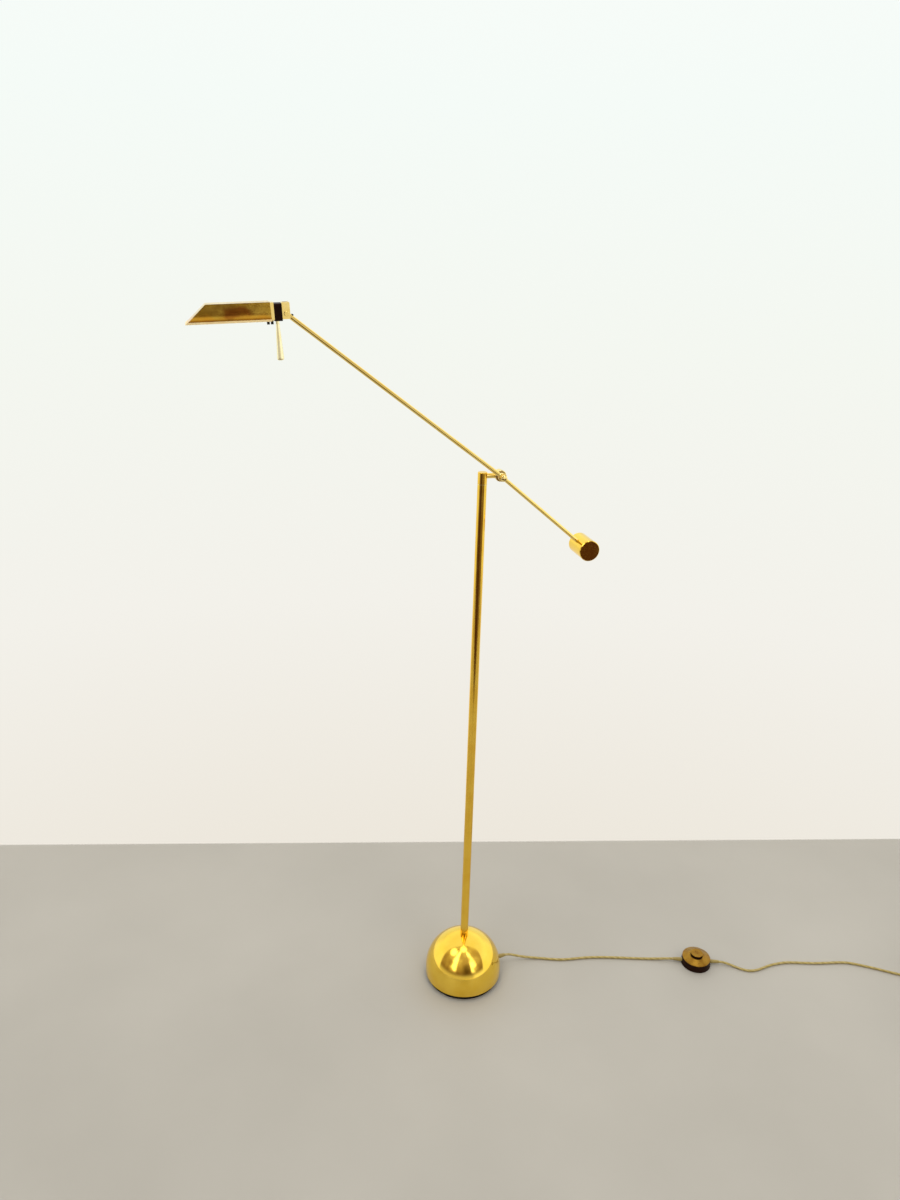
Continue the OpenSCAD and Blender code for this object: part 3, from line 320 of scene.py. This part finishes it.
# Filament across the capsule and its two leads, in metres
FILAMENT_R = 0.0011
FILAMENT_HALF = 0.0026
FILAMENT_AT = 0.0225
FILAMENT_WIRE = 0.00022
FILAMENT_TURNS = 8
FILAMENT_STEPS = 12
LEAD_WIRE = 0.0003
LEAD_POINTS = ((0, 0.0032, 0.0085), (0, 0.0034, 0.014), (0, 0.0032, 0.019), (0.0004, 0.0028, 0.0222),
               (FILAMENT_R, FILAMENT_HALF, 0.0227))
filament_half = FILAMENT_TURNS * FILAMENT_STEPS // 2
filament_points = []
for k in range(-filament_half, filament_half + 1):
    a = 2 * math.pi * k / FILAMENT_STEPS
    filament_points.append(bulb_frame @ Vector((FILAMENT_R * math.cos(a), k / filament_half * FILAMENT_HALF,
                                                FILAMENT_AT + FILAMENT_R * math.sin(a))))
filament = tube_piece("bulb_filament", filament_points, FILAMENT_WIRE, "head", 6)
wires = [button_spring, filament]
for name, side in (("bulb_lead_left", -1), ("bulb_lead_right", 1)):
    lead_points = [bulb_frame @ Vector((x, side * y, z)) for x, y, z in LEAD_POINTS]
    lead = tube_piece(name, lead_points, LEAD_WIRE, "head")
    wires.append(lead)


# Node helpers for the materials and the world

def material(name):
    made = bpy.data.materials.new(name)
    made.use_nodes = True
    tree = made.node_tree
    return made, tree, tree.nodes["Principled BSDF"]


def coordinates(tree, kind="Object"):
    return tree.nodes.new("ShaderNodeTexCoord").outputs[kind]


def stretched(tree, vector, scale):
    node = tree.nodes.new("ShaderNodeMapping")
    node.inputs["Scale"].default_value = scale
    tree.links.new(vector, node.inputs["Vector"])
    return node.outputs["Vector"]


def noise(tree, scale, detail=3.0, stretch=None, kind="Object"):
    """Noise factor over the piece, with scale per metre."""
    place = coordinates(tree, kind)
    if stretch:
        place = stretched(tree, place, stretch)
    texture = tree.nodes.new("ShaderNodeTexNoise")
    texture.inputs["Scale"].default_value = scale
    texture.inputs["Detail"].default_value = detail
    tree.links.new(place, texture.inputs["Vector"])
    return texture.outputs["Fac"]


def ramp(tree, factor, stops):
    """Colour ramp of (place, colour) pairs on a factor."""
    node = tree.nodes.new("ShaderNodeValToRGB")
    elements = node.color_ramp.elements
    while len(elements) < len(stops):
        elements.new(0.5)
    for element, (place, colour) in zip(elements, stops):
        element.position = place
        element.color = (*colour, 1.0)
    tree.links.new(factor, node.inputs["Fac"])
    return node.outputs["Color"]


def spread(tree, factor, low, high, first=0.3, last=0.7):
    """A factor's part from first to last stretched to the values low to high."""
    node = tree.nodes.new("ShaderNodeMapRange")
    node.inputs["From Min"].default_value = first
    node.inputs["From Max"].default_value = last
    node.inputs["To Min"].default_value = low
    node.inputs["To Max"].default_value = high
    tree.links.new(factor, node.inputs["Value"])
    return node.outputs["Result"]


def step(tree, value, first, last):
    """Smooth change from 0 at first to 1 at last."""
    node = tree.nodes.new("ShaderNodeMapRange")
    node.interpolation_type = "SMOOTHSTEP"
    turned_round = first > last
    node.inputs["From Min"].default_value = min(first, last)
    node.inputs["From Max"].default_value = max(first, last)
    node.inputs["To Min"].default_value = 1.0 if turned_round else 0.0
    node.inputs["To Max"].default_value = 0.0 if turned_round else 1.0
    tree.links.new(value, node.inputs["Value"])
    return node.outputs["Result"]


def combined(tree, operation, first, *others):
    """Values put together, one after the other, by one Math operation."""
    for other in others:
        node = tree.nodes.new("ShaderNodeMath")
        node.operation = operation
        tree.links.new(first, node.inputs[0])
        tree.links.new(other, node.inputs[1])
        first = node.outputs["Value"]
    return first


def product(tree, *values):
    return combined(tree, "MULTIPLY", *values)


def total(tree, *values):
    return combined(tree, "ADD", *values)


def largest(tree, *values):
    return combined(tree, "MAXIMUM", *values)


def along(tree, vector, direction):
    """Length of a vector along a direction."""
    node = tree.nodes.new("ShaderNodeVectorMath")
    node.operation = "DOT_PRODUCT"
    node.inputs[1].default_value = direction
    tree.links.new(vector, node.inputs[0])
    return node.outputs["Value"]


def mixed(tree, kind, factor, a, b):
    """Two colours mixed by a factor, or at full strength if the factor is None."""
    node = tree.nodes.new("ShaderNodeMix")
    node.data_type = "RGBA"
    node.blend_type = kind
    sockets = [q for q in node.inputs if q.type == "RGBA"]
    if factor is None:
        node.inputs[0].default_value = 1.0
    else:
        tree.links.new(factor, node.inputs[0])
    tree.links.new(a, sockets[0])
    tree.links.new(b, sockets[1])
    return [q for q in node.outputs if q.type == "RGBA"][0]


def bump(tree, height, strength, distance, under=None):
    """Normal of a bump, on top of the normal under it if one is given."""
    node = tree.nodes.new("ShaderNodeBump")
    node.inputs["Strength"].default_value = strength
    node.inputs["Distance"].default_value = distance
    tree.links.new(height, node.inputs["Height"])
    if under is not None:
        tree.links.new(under, node.inputs["Normal"])
    return node.outputs["Normal"]


# Materials

MARK_SCALE = 260.0
MARK_DEPTH = 0.0002
SMUDGE = 3.3


def metal_gloss(tree, rough, patch):
    """Smudges in a metal's gloss."""
    return spread(tree, noise(tree, patch * SMUDGE, detail=5.0), *rough)


def metal_marks(tree, grain, strength, under=None):
    """Fine polishing marks, stretched by grain."""
    return bump(tree, noise(tree, MARK_SCALE, detail=2.0, stretch=grain), strength, MARK_DEPTH, under)


def metal(name, light, dark, rough, patch=22.0, grain=None, grain_strength=0.02):
    """Polished metal: slow colour change, smudges in the gloss and fine polishing marks."""
    made, tree, shader = material(name)
    shader.inputs["Metallic"].default_value = 1.0
    tree.links.new(ramp(tree, noise(tree, patch), [(0.32, dark), (0.62, light)]), shader.inputs["Base Color"])
    tree.links.new(metal_gloss(tree, rough, patch), shader.inputs["Roughness"])
    if grain:
        tree.links.new(metal_marks(tree, grain, grain_strength), shader.inputs["Normal"])
    return made


def dull(name, light, dark, rough, grain=900.0, strength=0.15, distance=0.0002, specular=0.5):
    """Plastic, rubber, felt or fibre: two tones, uneven gloss and a fine grain."""
    made, tree, shader = material(name)
    tones = ramp(tree, noise(tree, scale=120.0, detail=4.0), [(0.3, dark), (0.7, light)])
    tree.links.new(tones, shader.inputs["Base Color"])
    tree.links.new(spread(tree, noise(tree, scale=252.0), *rough), shader.inputs["Roughness"])
    shader.inputs["Specular IOR Level"].default_value = specular
    tree.links.new(bump(tree, noise(tree, grain), strength, distance), shader.inputs["Normal"])
    return made


def shade_look():
    """Folded brass sheet: plain, with a painted reflection as a reddish patch beside the bulb, a painted
    warmer reflection low down, and a hem with a painted pale highlight, duller in gloss.
    """
    hem_top = -0.0070
    hem_blur = 0.0003
    # Edges of the painted reflection patch, in metres from the tilt axis and from the hem
    reflection_front = (-0.112, -0.098)
    reflection_rear = (-0.052, -0.066)
    reflection_low = (0.002, 0.008)
    reflection_high = (0.026, 0.016)
    # Top of the painted warm reflection low down, above the hem
    low_reflection_top = 0.012
    curl_top = 0.010
    curl_share = 0.42
    wave_depth = 0.002
    edge_blur = 0.006
    hem_dullness = 0.35
    made, tree, shader = material("brass_sheet")
    shader.inputs["Metallic"].default_value = 1.0
    into_shade = nodes["shade"].matrix_world.inverted()
    into_turn = into_shade.to_3x3() @ head_frame.to_3x3()
    head_up = (into_turn @ UP).normalized()
    head_back = (into_turn @ Vector((1, 0, 0))).normalized()
    hem_level = head_up.dot(into_shade @ HEAD) + hem_top
    tilt_axis = head_back.dot(into_shade @ HEAD)
    place = coordinates(tree)
    rise = along(tree, place, head_up)
    reach = along(tree, place, head_back)
    blur = spread(tree, noise(tree, scale=35.0, detail=2.0), -edge_blur, edge_blur)
    soft_rise = total(tree, rise, blur)
    soft_reach = total(tree, reach, blur)
    # Mask of the painted reflection: a reddish patch beside the bulb
    painted_reflection_mask = product(tree, step(tree, soft_reach, *[tilt_axis + v for v in reflection_front]),
                     step(tree, soft_reach, *[tilt_axis + v for v in reflection_rear]),
                     step(tree, soft_rise, *[hem_level + v for v in reflection_low]),
                     step(tree, soft_rise, *[hem_level + v for v in reflection_high]))
    plain = ramp(tree, noise(tree, scale=20.0, detail=2.0, stretch=(1, 1, 2)), [
        (0.34, (0.80, 0.50, 0.06)), (0.50, (0.90, 0.60, 0.08)), (0.64, (1.0, 0.70, 0.12))])
    # Colour of the painted reflection patch
    painted_reflection = ramp(tree, noise(tree, scale=60.0), [(0.3, (0.50, 0.18, 0.025)), (0.7, (0.62, 0.27, 0.04))])
    # Colour of the painted reflection: a warmer orange band low down
    painted_low_reflection = ramp(tree, noise(tree, scale=60.0), [(0.3, (0.97, 0.47, 0.04)), (0.7, (1.0, 0.54, 0.055))])
    # Colour of the painted highlight on the hem
    pale = ramp(tree, noise(tree, scale=70.0), [(0.3, (1.0, 0.80, 0.42)), (0.7, (1.0, 0.88, 0.55))])
    hem = step(tree, rise, hem_level + hem_blur, hem_level - hem_blur)
    # Plain brass with the painted reflection patch over it
    colour = mixed(tree, "MIX", painted_reflection_mask, plain, painted_reflection)
    # Then the painted warm reflection low down
    colour = mixed(tree, "MIX", step(tree, soft_rise, hem_level + low_reflection_top, hem_level), colour, painted_low_reflection)
    # Then the painted highlight on the hem, which is also duller
    tree.links.new(mixed(tree, "MIX", hem, colour, pale), shader.inputs["Base Color"])
    gloss = total(tree, metal_gloss(tree, rough=(0.15, 0.21), patch=30.0),
                  spread(tree, hem, 0.0, hem_dullness, 0.0, 1.0))
    tree.links.new(gloss, shader.inputs["Roughness"])
    curl = spread(tree, step(tree, rise, hem_level, hem_level + curl_top), 0.0, curl_share, 0.0, 1.0)
    swell = noise(tree, scale=9.0, detail=0.5, stretch=(1, 1, 2.5))
    waves = bump(tree, total(tree, swell, curl), strength=1.0, distance=wave_depth)
    marks = metal_marks(tree, grain=(0.04, 1, 1), strength=0.04, under=waves)
    tree.links.new(marks, shader.inputs["Normal"])
    return made


def sheath_look():
    """Cord sheath: gold plastic over two twisted cores, by the cord's UV in metres along it."""
    twists_per_metre = 30.0
    band_scale = 0.4 * math.pi
    made, tree, shader = material("cord_sheath")
    wave = tree.nodes.new("ShaderNodeTexWave")
    wave.wave_type = "BANDS"
    wave.bands_direction = "DIAGONAL"
    wave.inputs["Scale"].default_value = band_scale
    place = stretched(tree, coordinates(tree, "UV"), (1.0, twists_per_metre, 1.0))
    tree.links.new(place, wave.inputs["Vector"])
    twist = wave.outputs["Fac"]
    tree.links.new(ramp(tree, twist, [(0.15, (0.36, 0.28, 0.085)), (0.8, (0.46, 0.37, 0.13))]),
                   shader.inputs["Base Color"])
    tree.links.new(spread(tree, noise(tree, scale=90.0), 0.2, 0.34), shader.inputs["Roughness"])
    shader.inputs["Coat Weight"].default_value = 0.35
    shader.inputs["Coat Roughness"].default_value = 0.12
    tree.links.new(bump(tree, twist, strength=0.12, distance=0.0003), shader.inputs["Normal"])
    return made


def quartz_look():
    """Clear quartz glass, hardly uneven."""
    made, tree, shader = material("quartz")
    shader.inputs["Transmission Weight"].default_value = 1.0
    shader.inputs["IOR"].default_value = 1.46
    tint = ramp(tree, noise(tree, scale=80.0), [(0.3, (0.95, 0.97, 0.98)), (0.7, (1.0, 1.0, 1.0))])
    tree.links.new(tint, shader.inputs["Base Color"])
    tree.links.new(spread(tree, noise(tree, scale=200.0), 0.0, 0.04), shader.inputs["Roughness"])
    return made


MATT = 0.06
EVEN = (1, 1, 1)
brass = metal("brass_polished", (1.0, 0.69, 0.10), (0.95, 0.62, 0.065), (0.06, 0.12))
brass_tube = metal("brass_tube", (0.99, 0.65, 0.09), (0.92, 0.56, 0.06), (0.06, 0.13), grain=(1, 1, 0.02),
                   grain_strength=0.04)
# Arm brass: smoother, and paler than the polished brass; the paler colour is a painted highlight
brass_arm = metal("brass_arm", (1.0, 0.79, 0.27), (0.97, 0.73, 0.20), (0.05, 0.10))
# Pale brass for the grip: the paleness is a painted highlight
brass_painted_highlight = metal("brass_painted_highlight", (1.0, 0.93, 0.62), (0.98, 0.87, 0.50), (0.14, 0.22), patch=60.0)
brass_cover = metal("brass_cover", (0.36, 0.20, 0.028), (0.25, 0.12, 0.015), (0.25, 0.38), patch=60.0,
                    grain=EVEN, grain_strength=0.1)
# Satin brass: rougher and with fine marks; its paler colour is a painted highlight
brass_satin = metal("brass_satin", (1.0, 0.82, 0.34), (0.98, 0.75, 0.25), (0.12, 0.20), patch=60.0,
                    grain=EVEN, grain_strength=0.03)
steel = metal("steel_plated", (0.66, 0.66, 0.67), (0.5, 0.5, 0.52), (0.18, 0.32), patch=80.0, grain=EVEN)
black_steel = dull("black_steel", (0.02, 0.02, 0.02), (0.008, 0.008, 0.008), (0.3, 0.45), specular=MATT)
iron = dull("iron_cast", (0.05, 0.05, 0.052), (0.03, 0.03, 0.032), (0.6, 0.8), grain=500.0, strength=0.5)
winding = dull("winding_tape", (0.42, 0.26, 0.07), (0.3, 0.17, 0.04), (0.35, 0.5), grain=300.0)
felt = dull("felt", (0.015, 0.012, 0.01), (0.006, 0.005, 0.004), (0.9, 1.0), grain=1500.0, strength=0.8,
            distance=0.0006, specular=MATT)
fibre = dull("fibre", (0.30, 0.20, 0.07), (0.22, 0.14, 0.045), (0.6, 0.8))
plastic = dull("plastic_brown", (0.022, 0.0075, 0.004), (0.012, 0.004, 0.0022), (0.38, 0.5), strength=0.08,
               specular=MATT)
board = dull("board_green", (0.03, 0.09, 0.03), (0.02, 0.06, 0.02), (0.4, 0.6))
ceramic = dull("ceramic", (0.75, 0.72, 0.64), (0.66, 0.62, 0.54), (0.25, 0.4), strength=0.1)
rubber = dull("rubber_black", (0.014, 0.014, 0.014), (0.008, 0.008, 0.008), (0.5, 0.7), specular=MATT)
moulded = dull("moulded_gold", (0.36, 0.28, 0.085), (0.28, 0.21, 0.06), (0.28, 0.4), strength=0.1)

# The nodes of each look; all others are plated steel
LOOKS = (
    (brass, ("base_dome", "pole_nipple", "swivel_bush", "arm_eye", "counterweight")),
    (brass_tube, ("pole", "swivel_cap")),
    (brass_arm, ("bracket_stub", "arm_tube", "arm_rod")),
    (brass_satin, ("pivot_boss", "arm_hub", "head_knuckle", "swivel_washer", "pivot_bolt", "tension_knob",
                   "spring_washer", "tilt_screw", "shade_collar")),
    (shade_look(), ("shade",)),
    (brass_painted_highlight, ("grip",)),
    (brass_cover, ("switch_cover", "button_cap")),
    (iron, ("base_core",)),
    (black_steel, ("base_plate", "tube_screw", "shade_screws")),
    (winding, ("transformer",)),
    (felt, ("felt_pad",)),
    (fibre, ("friction_washer",)),
    (plastic, ("lampholder", "switch_base", "switch_body", "switch_button")),
    (board, ("switch_module",)),
    (ceramic, ("bulb_socket",)),
    (rubber, ("pole_lead", "arm_lead", "cord_tie")),
    (moulded, ("cord_gland", "switch_reliefs", "plug_body")),
)
look_of = {name: look for look, names in LOOKS for name in names}
for name, node in nodes.items():
    node.data.materials.clear()
    node.data.materials.append(look_of.get(name, steel))
sheath = sheath_look()
for cord in (cord_first, cord_second):
    cord.data.materials.append(sheath)
bulb_glass.data.materials.append(quartz_look())
for wire in wires:
    wire.data.materials.append(steel)

# Floor: pale grey, ending at the wall line behind the lamp, near the camera and on both sides, in metres
WALL = Vector((0.2180, 0.9759, 0.0))
ALONG_WALL = Vector((WALL.y, -WALL.x, 0))
FLOOR_SIZE = 12.0
FLOOR_BACK = (0.528, 0.522)
FLOOR_FRONT = (-1.75, -1.3)
FLOOR_RIGHT = (3.2, 2.4)
FLOOR_LEFT = (-3.2, -2.4)


def floor_look():
    """Pale grey floor with slow changes of tone, seen only within its edges."""
    made, tree, shader = material("floor")
    tones = ramp(tree, noise(tree, scale=1.6, detail=6.0), [
        (0.3, (0.405, 0.394, 0.360)), (0.7, (0.457, 0.446, 0.409))])
    tree.links.new(tones, shader.inputs["Base Color"])
    tree.links.new(spread(tree, noise(tree, scale=5.0), 0.5, 0.62), shader.inputs["Roughness"])
    place = coordinates(tree)
    shown = product(tree, step(tree, along(tree, place, WALL), *FLOOR_BACK),
                    step(tree, along(tree, place, HEADING), *FLOOR_FRONT),
                    step(tree, along(tree, place, ALONG_WALL), *FLOOR_RIGHT),
                    step(tree, along(tree, place, ALONG_WALL), *FLOOR_LEFT))
    tree.links.new(shown, shader.inputs["Alpha"])
    return made


bpy.ops.mesh.primitive_grid_add(x_subdivisions=8, y_subdivisions=8, size=FLOOR_SIZE, location=(0, 0, 0))
floor = bpy.context.object
floor.name = "floor"
floor.data.materials.append(floor_look())

# Surroundings: white walls and ceiling, and on the camera's side a dim room with dark panels and windows.
# Soft edges are pairs, from where a part isn't seen to where it is. Height is the sine of the angle above
# the horizon; sideways and facing are the parts of a level direction to the camera's right and towards it.
BELOW = (0.06, -0.04)
ABOVE = (-0.04, 0.06)
ROOM_EDGE = (-0.06, 0.12)
ROOM_EDGES = (0.17 * UP - HEADING, 0.42 * UP + 0.24 * SIDE - HEADING, 0.60 * UP - 0.55 * SIDE - HEADING)
LOW_ROOM_FACING = (0.2, 0.5)
LOW_ROOM_RIGHT = (0.95, 0.85)
PANEL_LEFT = (0.42, 0.62)
PANEL_RIGHT = (0.92, 0.70)
PANEL_BOTTOM = (-0.66, -0.40)
PANEL_TOP = (-0.04, -0.24)
UNDER_TOP = (-0.22, -0.36)
UNDER_RIGHT = (0.54, 0.38)
UNDER_ARM_TOP = (-0.15, -0.26)
UNDER_ARM_LEFT = (0.15, 0.28)
SHADE_DUSK = (17, 21, 6, 26)
SIDE_WALLS = (-0.82, -0.62)
SIDE_WALLS_BOTTOM = (-0.10, 0.05)
CEILING = (0.28, 0.44)
HORIZON_TOP = (0.28, 0.04)
HORIZON_BOTTOM = (-0.26, -0.05)
HORIZON_FACING = (-0.45, -0.2)
HORIZON_RIGHT = (0.44, 0.62)
HORIZON_SHARE = (0.5, 0.95)
LEFT_WINDOW = ((-0.80, -0.60), (-0.34, -0.50))
RIGHT_WINDOW = ((0.38, 0.52), (0.82, 0.64))
WINDOW_BOTTOM = (0.16, 0.42)
WINDOW_FACING = (-0.1, 0.1)
WINDOW_SHARE = (0.25, 1.0)
WINDOW_PATCHES = (0.38, 0.58)
ROUND_WINDOWS = ((0, 86, 2, 12), (-74, 61, 2, 14))
GLARE = 1.2
WINDOW_LIGHT = 2.6

WALL_TONES = [(0.10, (0.62, 0.58, 0.50)), (0.20, (0.847, 0.80, 0.715)), (0.316, (0.896, 0.879, 0.823)),
              (0.45, (0.905, 0.93, 0.875)), (0.565, (0.913, 0.965, 0.93)), (0.8, (1.0, 1.0, 0.98))]
ROOM_TINTS = [(0.34, (0.70, 0.62, 0.56)), (0.50, (0.84, 0.79, 0.74)), (0.62, (1.0, 0.97, 0.93))]
HIGH_TONES = [(0.50, (0.27, 0.18, 0.13)), (0.58, (0.22, 0.15, 0.11)), (0.66, (0.40, 0.31, 0.23)),
              (0.80, (0.62, 0.54, 0.44)), (0.95, (0.85, 0.79, 0.70))]
DUSK_TONES = [(0.4, (0.34, 0.31, 0.26)), (0.6, (0.46, 0.42, 0.36))]
LOW_TONES = [(0.02, (0.50, 0.42, 0.36)), (0.12, (0.20, 0.14, 0.11)), (0.24, (0.055, 0.026, 0.020)),
             (0.46, (0.055, 0.026, 0.020)), (0.56, (0.28, 0.22, 0.13)), (0.68, (0.62, 0.52, 0.34)),
             (0.90, (0.8, 0.7, 0.5))]
PANEL_TONES = [(0.4, (0.075, 0.030, 0.026)), (0.6, (0.11, 0.050, 0.042))]
UNDER_TONES = [(0.4, (0.06, 0.026, 0.020)), (0.6, (0.10, 0.050, 0.038))]
GLARE_TONES = [(0.45, (0.95, 0.93, 0.86)), (0.72, (1.0, 0.98, 0.93)), (0.84, (0.88, 0.86, 0.82))]
WINDOW_TONES = [(0.3, (1.0, 0.95, 0.85)), (0.7, (1.0, 1.0, 0.97))]


def as_share(tree, value):
    """A value from -1 to 1 brought to 0 to 1."""
    return spread(tree, value, 0.0, 1.0, -1.0, 1.0)


def round_spot(tree, way, spot):
    """Soft round spot from its degrees to the camera's right, up, and of its inner and outer radius."""
    turned, up, inner, outer = [math.radians(v) for v in spot]
    level = SIDE * math.sin(turned) - HEADING * math.cos(turned)
    centre = level * math.cos(up) + UP * math.sin(up)
    return step(tree, along(tree, way, centre), math.cos(outer), math.cos(inner))


def level_parts(tree, way):
    """How far a direction, laid level, points towards the camera's side and to its right."""
    flat = tree.nodes.new("ShaderNodeVectorMath")
    flat.operation = "MULTIPLY"
    flat.inputs[1].default_value = (1, 1, 0)
    tree.links.new(way, flat.inputs[0])
    level = tree.nodes.new("ShaderNodeVectorMath")
    level.operation = "NORMALIZE"
    tree.links.new(flat.outputs["Vector"], level.inputs[0])
    return along(tree, level.outputs["Vector"], -HEADING), along(tree, level.outputs["Vector"], SIDE)


def room_colours(tree, way, height, sideways, below, patches):
    """The dim room: by height above the horizon, and from left to right below it."""
    high = mixed(tree, "MULTIPLY", None, ramp(tree, as_share(tree, height), HIGH_TONES),
                 ramp(tree, patches, ROOM_TINTS))
    high = mixed(tree, "MULTIPLY", round_spot(tree, way, SHADE_DUSK), high, ramp(tree, patches, DUSK_TONES))
    panel = product(tree, step(tree, sideways, *PANEL_LEFT), step(tree, sideways, *PANEL_RIGHT),
                    step(tree, height, *PANEL_BOTTOM), step(tree, height, *PANEL_TOP))
    under_arm = product(tree, step(tree, height, *UNDER_ARM_TOP), step(tree, sideways, *UNDER_ARM_LEFT))
    under = product(tree, largest(tree, step(tree, height, *UNDER_TOP), under_arm),
                    step(tree, sideways, *UNDER_RIGHT))
    low = ramp(tree, as_share(tree, sideways), LOW_TONES)
    low = mixed(tree, "MIX", panel, low, ramp(tree, patches, PANEL_TONES))
    low = mixed(tree, "MIX", under, low, ramp(tree, patches, UNDER_TONES))
    return mixed(tree, "MIX", below, high, low)


def bright_parts(tree, height, facing, sideways, dim):
    """Where the walls beside the picture, the ceiling and the band at the camera's level are bright."""
    walls = product(tree, step(tree, facing, *SIDE_WALLS), step(tree, height, *SIDE_WALLS_BOTTOM))
    above = product(tree, largest(tree, walls, step(tree, height, *CEILING)), step(tree, dim, 1.0, 0.0))
    strength = spread(tree, step(tree, sideways, *HORIZON_RIGHT), *HORIZON_SHARE, 0.0, 1.0)
    horizon = product(tree, step(tree, height, *HORIZON_TOP), step(tree, height, *HORIZON_BOTTOM),
                      step(tree, facing, *HORIZON_FACING), strength)
    return largest(tree, above, horizon)


def window_parts(tree, way, height, facing, sideways, patches):
    """Two tall windows on the camera's side and two round ones higher up."""
    tall = [product(tree, step(tree, sideways, *left), step(tree, sideways, *right))
            for left, right in (LEFT_WINDOW, RIGHT_WINDOW)]
    tall = product(tree, largest(tree, *tall), step(tree, height, *WINDOW_BOTTOM),
                   step(tree, facing, *WINDOW_FACING), spread(tree, patches, *WINDOW_SHARE, *WINDOW_PATCHES))
    return largest(tree, tall, *[round_spot(tree, way, spot) for spot in ROUND_WINDOWS])


def light_over(tree, factor, under, colour, strength):
    """A background light of its own laid over another by a factor."""
    light = tree.nodes.new("ShaderNodeBackground")
    light.inputs["Strength"].default_value = strength
    tree.links.new(colour, light.inputs["Color"])
    node = tree.nodes.new("ShaderNodeMixShader")
    tree.links.new(factor, node.inputs[0])
    tree.links.new(under, node.inputs[1])
    tree.links.new(light.outputs["Background"], node.inputs[2])
    return node.outputs["Shader"]


def surroundings(tree):
    """World light by direction: walls and room, then the bright parts, then the windows."""
    way = coordinates(tree, "Generated")
    height = along(tree, way, UP)
    facing, sideways = level_parts(tree, way)
    patches = noise(tree, scale=3.2, detail=0.5, kind="Generated")
    below = step(tree, height, *BELOW)
    high_room = product(tree, *[step(tree, along(tree, way, edge), *ROOM_EDGE) for edge in ROOM_EDGES])
    low_room = product(tree, step(tree, facing, *LOW_ROOM_FACING), step(tree, sideways, *LOW_ROOM_RIGHT))
    dim = total(tree, product(tree, low_room, below), product(tree, high_room, step(tree, height, *ABOVE)))
    walls = ramp(tree, as_share(tree, height), WALL_TONES)
    room = room_colours(tree, way, height, sideways, below, patches)
    background = tree.nodes["Background"]
    background.inputs["Strength"].default_value = 1.0
    tree.links.new(mixed(tree, "MIX", dim, walls, room), background.inputs["Color"])
    bright = bright_parts(tree, height, facing, sideways, dim)
    windows = window_parts(tree, way, height, facing, sideways, patches)
    lit = light_over(tree, bright, background.outputs["Background"],
                     ramp(tree, as_share(tree, height), GLARE_TONES), GLARE)
    lit = light_over(tree, windows, lit, ramp(tree, patches, WINDOW_TONES), WINDOW_LIGHT)
    tree.links.new(lit, tree.nodes["World Output"].inputs["Surface"])


world = bpy.data.worlds.new("room")
scene.world = world
world.use_nodes = True
surroundings(world.node_tree)

# One wide lamp overhead, for the soft shadow on the floor; polished metal doesn't show it
LAMP_PLACE = Vector((-0.2, -0.3, 4.4))
LAMP_AIM = Vector((0, 0, 0.8))
LAMP_SIZE = 2.6
LAMP_POWER = 20.0
lamp_data = bpy.data.lights.new("soft_top", "AREA")
lamp_data.shape = "RECTANGLE"
lamp_data.size = LAMP_SIZE
lamp_data.size_y = LAMP_SIZE
lamp_data.energy = LAMP_POWER
lamp = bpy.data.objects.new("soft_top", lamp_data)
lamp.location = LAMP_PLACE
lamp.rotation_euler = (LAMP_AIM - LAMP_PLACE).to_track_quat("-Z", "Y").to_euler()
lamp.visible_glossy = False
scene.collection.objects.link(lamp)
